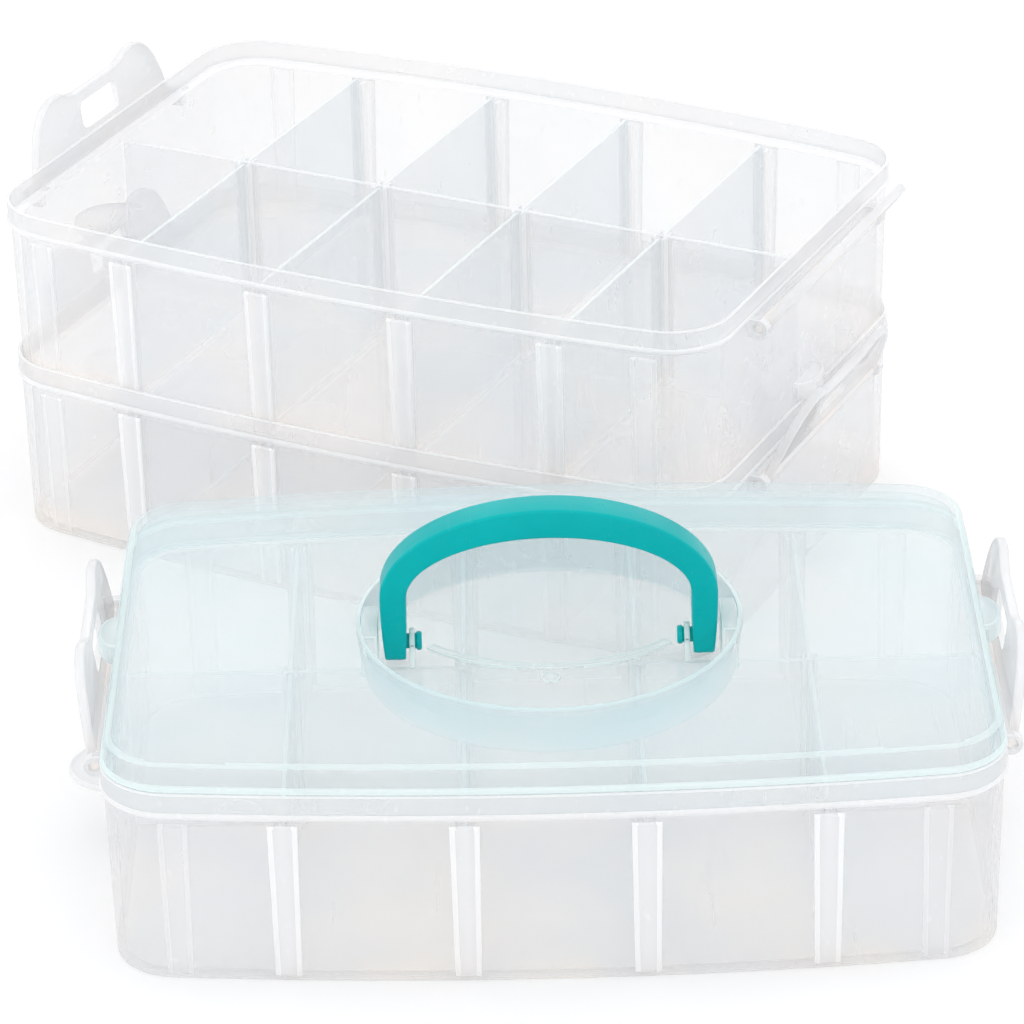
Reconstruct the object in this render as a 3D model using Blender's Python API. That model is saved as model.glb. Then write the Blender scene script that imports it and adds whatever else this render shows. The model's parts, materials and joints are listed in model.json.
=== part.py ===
"""Three-tier clear plastic parts organizer, standing as two separate stacks.

The rear stack is the middle tray on the bottom tray.  The front stack is the lid on the top tray.
Lengths are metres, Z is up.  Every tray, latch and divider is the same moulding repeated.
"""
import math

import bmesh
import bpy
from mathutils import Matrix, Vector

# ---------------------------------------------------------------- plan of the trays
TRAY_LENGTH = 0.2400
TRAY_WIDTH = 0.1660
LONG_SIDE_SAG = 0.0070
CORNER_RADIUS = 0.0175
ARC_SEGMENTS = 6
CORNER_SEGMENTS = 4
CORNER_WEIGHT = 0.72

# ---------------------------------------------------------------- heights in a tray's own frame
FLOOR_THICKNESS = 0.0016
LEDGE_HEIGHT = 0.0504
RIM_HEIGHT = 0.0573
STACK_STEP = 0.0507
LID_TOP = 0.0653

# ---------------------------------------------------------------- tray walls, as insets from the plan
BASE_FLAT_INSET = 0.0025
BASE_EDGE_INSET = 0.0020
WALL_TOP_INSET = 0.0013
BEAD_RISE = 0.0012
BAND_OUTER_INSET = 0.0005
BAND_INNER_INSET = 0.0014
INNER_WALL_INSET = 0.0040

# ---------------------------------------------------------------- compartments
COLUMN_PITCH = 0.0475
COLUMN_EDGES = (-1.5, -0.5, 0.5, 1.5)
CENTRE_WALL_THICKNESS = 0.0016
CENTRE_WALL_TOP = 0.0501
GUIDE_THICKNESS = 0.0012
GUIDE_DEPTH = 0.0026
GUIDE_TOP = 0.0485
DIVIDER_THICKNESS = 0.0014
DIVIDER_TOP = 0.0500
DIVIDER_FLOOR_GAP = 0.0004
SLIDE_GAP = 0.00035
DIVIDER_END_GAP = 0.00065
DIVIDER_CHAMFER = 0.0014
DIVIDER_TOP_CHAMFER = 0.0006

# -------------------------------------------------- pilasters outside the long walls
PILASTER_TOP_WIDTH = 0.0080
PILASTER_BASE_WIDTH = 0.0070
PILASTER_RISE = 0.0007
PILASTER_BASE_RISE = 0.0003
PILASTER_ROOT = 0.0007
PILASTER_TOP = 0.0480
PILASTER_BASE = 0.0016
END_PILASTER_X = 0.1000

# ---------------------------------------------------------------- end walls: catches and finger tab
CATCH_HALF_WIDTH = 0.0090
CATCH_REACH = 0.1234
CATCH_BOTTOM = 0.0074
CATCH_TOP = 0.0132
CATCH_ROOT = 0.1165
TAB_HALF_WIDTH = 0.0134
TAB_REACH = 0.1340
TAB_ROOT = 0.1170
TAB_BOTTOM = 0.0203
TAB_TOP = 0.0221

# ---------------------------------------------------------------- latches
LATCH_AXIS_X = 0.1222
LATCH_AXIS_Z = 0.0476
LATCH_BARREL_RADIUS = 0.0020
LATCH_HALF_WIDTH = 0.0410
LATCH_STUB_RADIUS = 0.0014
LATCH_STUB_END = 0.0450
LATCH_INNER_FACE = -0.0006
LATCH_OUTER_FACE = 0.0013
LATCH_BORDER_FACE = 0.0021
LATCH_BORDER_WIDTH = 0.0022
LATCH_WINDOW_HALF_WIDTH = 0.0110
LATCH_WINDOW_BOTTOM = 0.0089
LATCH_WINDOW_TOP = 0.0179
LATCH_WINDOW_RADIUS = 0.0022
LATCH_DIP = 0.0217
LATCH_HUMP = 0.0247
LUG_INNER_Y = 0.0426
LUG_OUTER_Y = 0.0456
LUG_ROOT_X = 0.1170
LUG_RADIUS = 0.0031
LUG_HOLE_RADIUS = 0.0018
LATCH_AJAR = 7.5
LATCH_BOTTOM_RIGHT_OPEN = 22.0
LATCH_MIDDLE_RIGHT_OPEN = 38.0

# ---------------------------------------------------------------- lid, bowl and handle
LID_SKIRT_INSET = 0.0023
LID_INNER_INSET = 0.0039
BOWL_RADIUS = 0.0515
BOWL_FLOOR_RADIUS = 0.0499
BOWL_FLOOR = 0.0528
BOWL_WALL = 0.0014
BOWL_FLOOR_THICKNESS = 0.0014
BOWL_SEGMENTS = 36
BOWL_RING_WIDTH = 0.0012
BOWL_RING_RISE = 0.0005
PIVOT_HEIGHT = 0.0587
BRACKET_INNER_X = 0.0360
BRACKET_OUTER_X = 0.0383
BRACKET_HALF_WIDTH = 0.0052
BRACKET_HOLE_RADIUS = 0.00255
HANDLE_HALF_WIDTH = 0.0451
HANDLE_LEG_WIDTH = 0.0063
HANDLE_HALF_DEPTH = 0.0050
HANDLE_LEG_STRAIGHT = 0.0150
HANDLE_TOP = 0.1001
HANDLE_CROWN = 0.0085
HANDLE_END_RADIUS = 0.0040
HANDLE_ANKLE = 0.0035
HANDLE_EDGE = 0.0008
HANDLE_STATIONS = 20
PIN_RADIUS = 0.0021
PIN_HEAD_RADIUS = 0.0032
PIN_HEAD_OUTER_X = 0.0356
PIN_HEAD_INNER_X = 0.0340
FLOOR_ARC_RADIUS = 0.0480
FLOOR_ARC_CENTRE_Y = 0.0415
FLOOR_ARC_HALF_ANGLE = 43.0
FLOOR_ARC_WIDTH = 0.0012
FLOOR_ARC_RISE = 0.0008
GATE_RADIUS = 0.0026
GATE_RISE = 0.0006
GATE_Y = -0.0125

# ---------------------------------------------------------------- how the two stacks stand
REAR_STACK_X = -0.0260
REAR_STACK_Y = 0.2050
REAR_STACK_TURN = -26.5

OVERLAP = 0.0006
ROOT_OVERLAP = 0.0008
WELD_DISTANCE = 0.000004


# ---------------------------------------------------------------- mesh helpers
def clear_scene():
    """Start from nothing."""
    for obj in list(bpy.data.objects):
        bpy.data.objects.remove(obj, do_unlink=True)
    for mesh in list(bpy.data.meshes):
        bpy.data.meshes.remove(mesh)


def plastic(name, colour, roughness, transmission):
    """One moulded plastic."""
    mat = bpy.data.materials.new(name)
    mat.use_nodes = True
    shader = mat.node_tree.nodes["Principled BSDF"]
    shader.inputs["Base Color"].default_value = (colour[0], colour[1], colour[2], 1.0)
    shader.inputs["Roughness"].default_value = roughness
    shader.inputs["Metallic"].default_value = 0.0
    shader.inputs["Transmission Weight"].default_value = transmission
    shader.inputs["IOR"].default_value = 1.49
    mat.diffuse_color = (colour[0], colour[1], colour[2], 1.0)
    return mat


def mesh_object(name, bm):
    """Turn a bmesh into an object with outward faces."""
    bmesh.ops.recalc_face_normals(bm, faces=bm.faces)
    mesh = bpy.data.meshes.new(name)
    bm.to_mesh(mesh)
    bm.free()
    obj = bpy.data.objects.new(name, mesh)
    bpy.context.scene.collection.objects.link(obj)
    return obj


def add_loft(bm, rings):
    """Skin between equal rings of points and cap both ends."""
    loops = [[bm.verts.new(point) for point in ring] for ring in rings]
    count = len(loops[0])
    for lower, upper in zip(loops[:-1], loops[1:]):
        for i in range(count):
            j = (i + 1) % count
            bm.faces.new((lower[i], lower[j], upper[j], upper[i]))
    bm.faces.new(list(reversed(loops[0])))
    bm.faces.new(loops[-1])


def add_prism(bm, outline, low, high):
    """Straight prism over a plan outline."""
    add_loft(bm, [[Vector((x, y, z)) for x, y in outline] for z in (low, high)])


def add_round(bm, profile, segments):
    """Solid of revolution about Z from (radius, height) pairs."""
    rings = []
    for radius, height in profile:
        ring = []
        for i in range(segments):
            angle = 2.0 * math.pi * i / segments
            ring.append(Vector((radius * math.cos(angle), radius * math.sin(angle), height)))
        rings.append(ring)
    add_loft(bm, rings)


def add_rod(bm, start, end, radius, segments, axis):
    """Round rod along X or Y between two points."""
    rings = []
    for centre in (start, end):
        ring = []
        for i in range(segments):
            angle = 2.0 * math.pi * (i + 0.5) / segments
            a = radius * math.cos(angle)
            b = radius * math.sin(angle)
            offset = Vector((0.0, a, b)) if axis == "X" else Vector((a, 0.0, b))
            ring.append(centre + offset)
        rings.append(ring)
    add_loft(bm, rings)


def combine(base, cutter, operation):
    """Exact boolean; the second object is used up."""
    cutter.hide_render = True
    cutter.display_type = "WIRE"
    modifier = base.modifiers.new("boolean", "BOOLEAN")
    modifier.operation = operation
    modifier.solver = "EXACT"
    modifier.object = cutter
    graph = bpy.context.evaluated_depsgraph_get()
    graph.update()
    mesh = bpy.data.meshes.new_from_object(base.evaluated_get(graph))
    base.modifiers.clear()
    old = base.data
    base.data = mesh
    bpy.data.meshes.remove(old)
    bpy.data.objects.remove(cutter, do_unlink=True)


def tidy(obj):
    """Weld boolean seams and face everything outwards."""
    bm = bmesh.new()
    bm.from_mesh(obj.data)
    bmesh.ops.remove_doubles(bm, verts=bm.verts, dist=WELD_DISTANCE)
    bmesh.ops.dissolve_degenerate(bm, edges=bm.edges, dist=WELD_DISTANCE)
    bmesh.ops.recalc_face_normals(bm, faces=bm.faces)
    bm.to_mesh(obj.data)
    bm.free()


def shade_round(obj, limit_degrees):
    """Smooth shading with the true edges kept sharp."""
    bm = bmesh.new()
    bm.from_mesh(obj.data)
    limit = math.radians(limit_degrees)
    for face in bm.faces:
        face.smooth = True
    for edge in bm.edges:
        if len(edge.link_faces) == 2:
            edge.smooth = edge.calc_face_angle(0.0) < limit
    bm.to_mesh(obj.data)
    bm.free()


# ---------------------------------------------------------------- plan outline
def corner_points(start, end, control):
    """Rounded corner between two sides, ends left out."""
    points = []
    for i in range(1, CORNER_SEGMENTS):
        t = i / CORNER_SEGMENTS
        a = (1.0 - t) ** 2
        b = 2.0 * CORNER_WEIGHT * t * (1.0 - t)
        c = t * t
        total = a + b + c
        points.append(((a * start[0] + b * control[0] + c * end[0]) / total,
                       (a * start[1] + b * control[1] + c * end[1]) / total))
    return points


def plan_outline(inset):
    """Bowed rounded rectangle, counter-clockwise, moved inwards by the inset."""
    half_length = 0.5 * TRAY_LENGTH - inset
    half_width = 0.5 * TRAY_WIDTH - inset
    radius = CORNER_RADIUS - inset
    reach = half_length - radius
    front = []
    for i in range(ARC_SEGMENTS + 1):
        x = reach * (2.0 * i / ARC_SEGMENTS - 1.0)
        front.append((x, LONG_SIDE_SAG * (x / half_length) ** 2 - half_width))
    slope = 2.0 * LONG_SIDE_SAG * reach / half_length ** 2
    control_y = front[-1][1] + slope * radius
    side_y = control_y + radius
    right = [(half_length, side_y), (half_length, -side_y)]
    half = list(front)
    half += corner_points(front[-1], right[0], (half_length, control_y))
    half += right
    half += corner_points(right[1], (-front[0][0], -front[0][1]), (half_length, -control_y))
    return half + [(-x, -y) for x, y in half]


def wall_y(x, inset):
    """Distance of the long wall from the middle line at a place along it."""
    half_length = 0.5 * TRAY_LENGTH - inset
    return 0.5 * TRAY_WIDTH - inset - LONG_SIDE_SAG * (x / half_length) ** 2


def ring(inset, height):
    """Plan outline at a height."""
    return [Vector((x, y, height)) for x, y in plan_outline(inset)]


# ---------------------------------------------------------------- tray
def tray_shell():
    """Pan with a bead, an upright band and the inner ledge the next piece sits on."""
    profile = [
        (BASE_FLAT_INSET, 0.0),
        (BASE_EDGE_INSET, 0.0006),
        (WALL_TOP_INSET, LEDGE_HEIGHT - 0.0007),
        (0.0, LEDGE_HEIGHT - 0.0001),
        (0.0, LEDGE_HEIGHT + BEAD_RISE - 0.0004),
        (BAND_OUTER_INSET, LEDGE_HEIGHT + BEAD_RISE),
        (BAND_OUTER_INSET, RIM_HEIGHT - 0.0003),
        (0.5 * (BAND_OUTER_INSET + BAND_INNER_INSET), RIM_HEIGHT),
        (BAND_INNER_INSET, RIM_HEIGHT - 0.0003),
        (BAND_INNER_INSET, LEDGE_HEIGHT),
        (INNER_WALL_INSET, LEDGE_HEIGHT),
        (INNER_WALL_INSET, FLOOR_THICKNESS + 0.0012),
        (INNER_WALL_INSET + 0.0012, FLOOR_THICKNESS),
    ]
    bm = bmesh.new()
    add_loft(bm, [ring(inset, height) for inset, height in profile])
    return mesh_object("tray_shell", bm)


def centre_wall_outline():
    """Long middle wall with a pair of guide ribs on both faces at each divider."""
    half = 0.5 * CENTRE_WALL_THICKNESS
    end = 0.5 * TRAY_LENGTH - INNER_WALL_INSET + ROOT_OVERLAP
    gap = 0.5 * DIVIDER_THICKNESS + SLIDE_GAP
    side = [(-end, -half)]
    for edge in COLUMN_EDGES:
        x = edge * COLUMN_PITCH
        for sign in (-1.0, 1.0):
            inner = x + sign * gap
            outer = x + sign * (gap + GUIDE_THICKNESS)
            low = min(inner, outer)
            high = max(inner, outer)
            side += [(low, -half), (low, -half - GUIDE_DEPTH), (high, -half - GUIDE_DEPTH), (high, -half)]
    side.append((end, -half))
    return side + [(-x, -y) for x, y in side]


def wall_guides(bm):
    """Guide ribs on the insides of the long walls."""
    gap = 0.5 * DIVIDER_THICKNESS + SLIDE_GAP
    for edge in COLUMN_EDGES:
        x = edge * COLUMN_PITCH
        for side in (-1.0, 1.0):
            for sign in (-1.0, 1.0):
                low = x + sign * gap
                high = x + sign * (gap + GUIDE_THICKNESS)
                root = wall_y(x, INNER_WALL_INSET) + ROOT_OVERLAP
                tip = wall_y(x, INNER_WALL_INSET) - GUIDE_DEPTH
                outline = [(low, side * root), (high, side * root), (high, side * tip), (low, side * tip)]
                add_prism(bm, outline, FLOOR_THICKNESS - OVERLAP, GUIDE_TOP)


def pilasters(bm):
    """Low upright ribs on the outsides of the long walls."""
    places = [edge * COLUMN_PITCH for edge in COLUMN_EDGES] + [-END_PILASTER_X, END_PILASTER_X]
    for x in places:
        for side in (-1.0, 1.0):
            rings = []
            levels = ((PILASTER_BASE, BASE_EDGE_INSET, PILASTER_BASE_WIDTH, PILASTER_BASE_RISE),
                      (PILASTER_TOP, WALL_TOP_INSET, PILASTER_TOP_WIDTH, PILASTER_RISE))
            for height, inset, width, rise in levels:
                low = x - 0.5 * width
                high = x + 0.5 * width
                loop = [(low, wall_y(low, inset) - PILASTER_ROOT),
                        (low, wall_y(low, inset) + rise),
                        (high, wall_y(high, inset) + rise),
                        (high, wall_y(high, inset) - PILASTER_ROOT)]
                rings.append([Vector((px, side * py, height)) for px, py in loop])
            add_loft(bm, rings)


def nose_outline(root, reach, half_width, sign, count):
    """Half-oval sticking out of an end wall."""
    points = [(sign * root, -half_width)]
    start = root + 0.0020
    for i in range(count + 1):
        angle = math.pi * (i / count - 0.5)
        points.append((sign * (start + (reach - start) * math.cos(angle)), half_width * math.sin(angle)))
    points.append((sign * root, half_width))
    return points


def catches(bm, base):
    """Blunt catches the latch windows drop over, one on each end."""
    for sign in (-1.0, 1.0):
        wide = nose_outline(CATCH_ROOT, CATCH_REACH, CATCH_HALF_WIDTH, sign, 6)
        narrow = nose_outline(CATCH_ROOT, CATCH_REACH - 0.0012, CATCH_HALF_WIDTH - 0.0008, sign, 6)
        levels = ((CATCH_BOTTOM, narrow), (CATCH_BOTTOM + 0.0012, wide),
                  (CATCH_TOP - 0.0012, wide), (CATCH_TOP, narrow))
        add_loft(bm, [[Vector((x, y, base + height)) for x, y in loop] for height, loop in levels])


def finger_tab(bm):
    """Half-round tab on the left end."""
    outline = nose_outline(TAB_ROOT, TAB_REACH, TAB_HALF_WIDTH, -1.0, 12)
    add_prism(bm, outline, TAB_BOTTOM, TAB_TOP)


def hinge_lugs(bm):
    """Round-nosed ears that carry the latch stubs."""
    for sign in (-1.0, 1.0):
        for side in (-1.0, 1.0):
            profile = [(LUG_ROOT_X, LATCH_AXIS_Z - LUG_RADIUS)]
            for i in range(7):
                angle = math.pi * (i / 6.0 - 0.5)
                profile.append((LATCH_AXIS_X + LUG_RADIUS * math.cos(angle),
                                LATCH_AXIS_Z + LUG_RADIUS * math.sin(angle)))
            profile.append((LUG_ROOT_X, LATCH_AXIS_Z + LUG_RADIUS))
            rings = []
            for y in (side * LUG_INNER_Y, side * LUG_OUTER_Y):
                rings.append([Vector((sign * x, y, z)) for x, z in profile])
            add_loft(bm, rings)


def hinge_holes(bm):
    """Bores for the latch stubs."""
    for sign in (-1.0, 1.0):
        for side in (-1.0, 1.0):
            start = Vector((sign * LATCH_AXIS_X, side * (LUG_INNER_Y - 0.0010), LATCH_AXIS_Z))
            end = Vector((sign * LATCH_AXIS_X, side * (LUG_OUTER_Y + 0.0010), LATCH_AXIS_Z))
            add_rod(bm, start, end, LUG_HOLE_RADIUS, 12, "Y")


def build_tray_mesh():
    """One tray moulding in its own frame."""
    tray = tray_shell()
    bm = bmesh.new()
    add_prism(bm, centre_wall_outline(), FLOOR_THICKNESS - OVERLAP, CENTRE_WALL_TOP)
    wall_guides(bm)
    combine(tray, mesh_object("inner_walls", bm), "UNION")
    bm = bmesh.new()
    pilasters(bm)
    catches(bm, 0.0)
    finger_tab(bm)
    hinge_lugs(bm)
    combine(tray, mesh_object("outer_details", bm), "UNION")
    bm = bmesh.new()
    hinge_holes(bm)
    combine(tray, mesh_object("hinge_bores", bm), "DIFFERENCE")
    tidy(tray)
    shade_round(tray, 32.0)
    return tray


# ---------------------------------------------------------------- latch
def latch_outline(inset):
    """Wide plate with two humps and a shallow dip between them, in its own upright frame."""
    half = [(0.0, LATCH_DIP), (0.0120, LATCH_DIP), (0.0160, LATCH_DIP + 0.0010),
            (0.0200, LATCH_HUMP - 0.0004), (0.0240, LATCH_HUMP), (0.0282, LATCH_HUMP - 0.0006),
            (0.0320, LATCH_HUMP - 0.0026), (0.0355, LATCH_HUMP - 0.0064), (0.0388, LATCH_HUMP - 0.0130),
            (LATCH_HALF_WIDTH, LATCH_HUMP - 0.0210), (LATCH_HALF_WIDTH, 0.0)]
    right = list(reversed(half))
    left = [(-y, z) for y, z in half[1:]]
    outline = right + left
    if inset == 0.0:
        return outline
    moved = []
    count = len(outline)
    for i in range(count):
        before = Vector(outline[i - 1])
        here = Vector(outline[i])
        after = Vector(outline[(i + 1) % count])
        first = (here - before).normalized()
        second = (after - here).normalized()
        normal = Vector((-first.y - second.y, first.x + second.x)).normalized()
        stretch = max(0.35, normal.dot(Vector((-first.y, first.x))))
        moved.append(tuple(here + normal * (inset / stretch)))
    return moved


def build_latch_mesh():
    """Latch moulding: hinge at the origin along Y, plate up Z, outside along +X."""
    outer = latch_outline(0.0)
    inner = latch_outline(LATCH_BORDER_WIDTH)
    levels = [(LATCH_INNER_FACE, outer), (LATCH_BORDER_FACE, outer),
              (LATCH_BORDER_FACE, inner), (LATCH_OUTER_FACE, inner)]
    bm = bmesh.new()
    add_loft(bm, [[Vector((x, y, z)) for y, z in loop] for x, loop in levels])
    latch = mesh_object("latch_mould", bm)
    bm = bmesh.new()
    reach = LATCH_HALF_WIDTH + OVERLAP
    add_rod(bm, Vector((0.0, -reach, 0.0)), Vector((0.0, reach, 0.0)),
            LATCH_BARREL_RADIUS, 12, "Y")
    combine(latch, mesh_object("barrel", bm), "UNION")
    bm = bmesh.new()
    for side in (-1.0, 1.0):
        add_rod(bm, Vector((0.0, side * (LATCH_HALF_WIDTH - 0.0020), 0.0)),
                Vector((0.0, side * LATCH_STUB_END, 0.0)), LATCH_STUB_RADIUS, 10, "Y")
    combine(latch, mesh_object("stubs", bm), "UNION")
    bm = bmesh.new()
    corners = ((1.0, 1.0), (-1.0, 1.0), (-1.0, -1.0), (1.0, -1.0))
    middle = 0.5 * (LATCH_WINDOW_BOTTOM + LATCH_WINDOW_TOP)
    half_height = 0.5 * (LATCH_WINDOW_TOP - LATCH_WINDOW_BOTTOM)
    loop = []
    for index, (sy, sz) in enumerate(corners):
        for i in range(3):
            angle = 0.5 * math.pi * (index + i / 2.0)
            y = sy * (LATCH_WINDOW_HALF_WIDTH - LATCH_WINDOW_RADIUS) + LATCH_WINDOW_RADIUS * math.cos(angle)
            z = middle + sz * (half_height - LATCH_WINDOW_RADIUS) + LATCH_WINDOW_RADIUS * math.sin(angle)
            loop.append((y, z))
    add_loft(bm, [[Vector((x, y, z)) for y, z in loop] for x in (-0.0040, 0.0050)])
    combine(latch, mesh_object("window", bm), "DIFFERENCE")
    tidy(latch)
    shade_round(latch, 32.0)
    return latch


# ---------------------------------------------------------------- divider
def divider_mesh(x):
    """Loose cross wall for the column edge at x, spanning middle wall to long wall."""
    near = 0.5 * CENTRE_WALL_THICKNESS + SLIDE_GAP
    far = wall_y(x, INNER_WALL_INSET) - DIVIDER_END_GAP
    low = FLOOR_THICKNESS + DIVIDER_FLOOR_GAP
    round_off = DIVIDER_CHAMFER
    shoulder = DIVIDER_TOP - DIVIDER_TOP_CHAMFER
    outline = [(near, low), (far - round_off, low), (far, low + round_off), (far, shoulder),
               (far - DIVIDER_TOP_CHAMFER, DIVIDER_TOP),
               (near + DIVIDER_TOP_CHAMFER, DIVIDER_TOP), (near, shoulder)]
    half = 0.5 * DIVIDER_THICKNESS
    bm = bmesh.new()
    add_loft(bm, [[Vector((dx, y, z)) for y, z in outline] for dx in (-half, half)])
    return mesh_object("divider", bm)


# ---------------------------------------------------------------- lid
def lid_shell():
    """Shallow cap with a skirt that drops inside the band of the tray."""
    profile = [
        (LID_INNER_INSET + 0.0012, LID_TOP - 0.0017),
        (LID_INNER_INSET + 0.0002, LID_TOP - 0.0027),
        (LID_INNER_INSET, STACK_STEP),
        (LID_SKIRT_INSET, STACK_STEP),
        (LID_SKIRT_INSET, RIM_HEIGHT + 0.0003),
        (0.0007, RIM_HEIGHT + 0.0003),
        (0.0007, RIM_HEIGHT + 0.0013),
        (0.0014, RIM_HEIGHT + 0.0018),
        (0.0018, LID_TOP - 0.0018),
        (0.0026, LID_TOP - 0.0004),
        (0.0044, LID_TOP),
    ]
    bm = bmesh.new()
    add_loft(bm, [ring(inset, height) for inset, height in profile])
    return mesh_object("lid_shell", bm)


def bowl_body(bm):
    """Outside of the round bowl hanging under the lid top."""
    add_round(bm, [(BOWL_FLOOR_RADIUS - 0.0004, BOWL_FLOOR - BOWL_FLOOR_THICKNESS),
                   (BOWL_FLOOR_RADIUS + BOWL_WALL, BOWL_FLOOR + 0.0006),
                   (BOWL_RADIUS + BOWL_WALL, LID_TOP - 0.0006)], BOWL_SEGMENTS)


def bowl_ring(bm):
    """Thin raised ring round the mouth of the bowl, overlapping the lid top."""
    inner = BOWL_RADIUS - 0.0002
    outer = BOWL_RADIUS + BOWL_RING_WIDTH
    add_round(bm, [(outer + 0.0003, LID_TOP - 0.0008), (outer, LID_TOP + BOWL_RING_RISE - 0.0002),
                   (outer - 0.0002, LID_TOP + BOWL_RING_RISE), (inner, LID_TOP + BOWL_RING_RISE)],
              BOWL_SEGMENTS)


def bowl_hollow(bm):
    """Space the folded handle lies in."""
    add_round(bm, [(BOWL_FLOOR_RADIUS - 0.0014, BOWL_FLOOR), (BOWL_FLOOR_RADIUS - 0.0003, BOWL_FLOOR + 0.0006),
                   (BOWL_FLOOR_RADIUS + 0.0002, BOWL_FLOOR + 0.0018), (BOWL_RADIUS, LID_TOP - 0.0004),
                   (BOWL_RADIUS + 0.0002, LID_TOP + 0.0020)], BOWL_SEGMENTS)


def bowl_details(bm):
    """Handle brackets, curved floor rib and moulding gate inside the bowl."""
    for sign in (-1.0, 1.0):
        low = BOWL_FLOOR - OVERLAP
        profile = [(-BRACKET_HALF_WIDTH - 0.0012, low), (BRACKET_HALF_WIDTH + 0.0012, low)]
        for i in range(9):
            angle = math.pi * i / 8.0
            profile.append((BRACKET_HALF_WIDTH * math.cos(angle), PIVOT_HEIGHT + BRACKET_HALF_WIDTH * math.sin(angle)))
        rings = []
        for x in (sign * BRACKET_INNER_X, sign * BRACKET_OUTER_X):
            rings.append([Vector((x, y, z)) for y, z in profile])
        add_loft(bm, rings)
    half_angle = math.radians(FLOOR_ARC_HALF_ANGLE)
    outer_arc = []
    inner_arc = []
    for i in range(11):
        angle = -0.5 * math.pi + half_angle * (i / 5.0 - 1.0)
        outer = FLOOR_ARC_RADIUS + 0.5 * FLOOR_ARC_WIDTH
        inner = FLOOR_ARC_RADIUS - 0.5 * FLOOR_ARC_WIDTH
        outer_arc.append((outer * math.cos(angle), FLOOR_ARC_CENTRE_Y + outer * math.sin(angle)))
        inner_arc.append((inner * math.cos(angle), FLOOR_ARC_CENTRE_Y + inner * math.sin(angle)))
    add_prism(bm, outer_arc + list(reversed(inner_arc)), BOWL_FLOOR - OVERLAP, BOWL_FLOOR + FLOOR_ARC_RISE)


def gate_button(bm):
    """Small round gate left by the moulding."""
    loop = []
    for i in range(12):
        angle = 2.0 * math.pi * i / 12.0
        loop.append((GATE_RADIUS * math.cos(angle), GATE_Y + GATE_RADIUS * math.sin(angle)))
    add_prism(bm, loop, BOWL_FLOOR - OVERLAP, BOWL_FLOOR + GATE_RISE)


def build_lid_mesh():
    """Lid moulding in the frame of the tray it sits on."""
    lid = lid_shell()
    bm = bmesh.new()
    bowl_body(bm)
    combine(lid, mesh_object("bowl_body", bm), "UNION")
    bm = bmesh.new()
    bowl_ring(bm)
    combine(lid, mesh_object("bowl_ring", bm), "UNION")
    bm = bmesh.new()
    bowl_hollow(bm)
    combine(lid, mesh_object("bowl_hollow", bm), "DIFFERENCE")
    bm = bmesh.new()
    bowl_details(bm)
    gate_button(bm)
    catches(bm, STACK_STEP)
    combine(lid, mesh_object("lid_details", bm), "UNION")
    bm = bmesh.new()
    for sign in (-1.0, 1.0):
        add_rod(bm, Vector((sign * (BRACKET_INNER_X - 0.0010), 0.0, PIVOT_HEIGHT)),
                Vector((sign * (BRACKET_OUTER_X + 0.0010), 0.0, PIVOT_HEIGHT)), BRACKET_HOLE_RADIUS, 14, "X")
    combine(lid, mesh_object("bracket_bores", bm), "DIFFERENCE")
    tidy(lid)
    shade_round(lid, 32.0)
    return lid


# ---------------------------------------------------------------- handle
def arch_point(angle, half_width, height):
    """Point on the half-oval arch above the straight legs."""
    x = half_width * math.cos(angle)
    z = HANDLE_LEG_STRAIGHT + (height - HANDLE_LEG_STRAIGHT) * math.sin(angle)
    return x, z


def handle_section(outer, inner, half_depth):
    """Chamfered box section between the outer and inner lines of the handle."""
    across = Vector((outer[0] - inner[0], 0.0, outer[1] - inner[1]))
    width = across.length
    direction = across.normalized()
    start = Vector((inner[0], 0.0, inner[1]))
    points = []
    for u, v in ((HANDLE_EDGE, -half_depth), (width - HANDLE_EDGE, -half_depth),
                 (width, HANDLE_EDGE - half_depth), (width, half_depth - HANDLE_EDGE),
                 (width - HANDLE_EDGE, half_depth), (HANDLE_EDGE, half_depth),
                 (0.0, half_depth - HANDLE_EDGE), (0.0, HANDLE_EDGE - half_depth)):
        points.append(start + direction * u + Vector((0.0, v, 0.0)))
    return points


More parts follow.
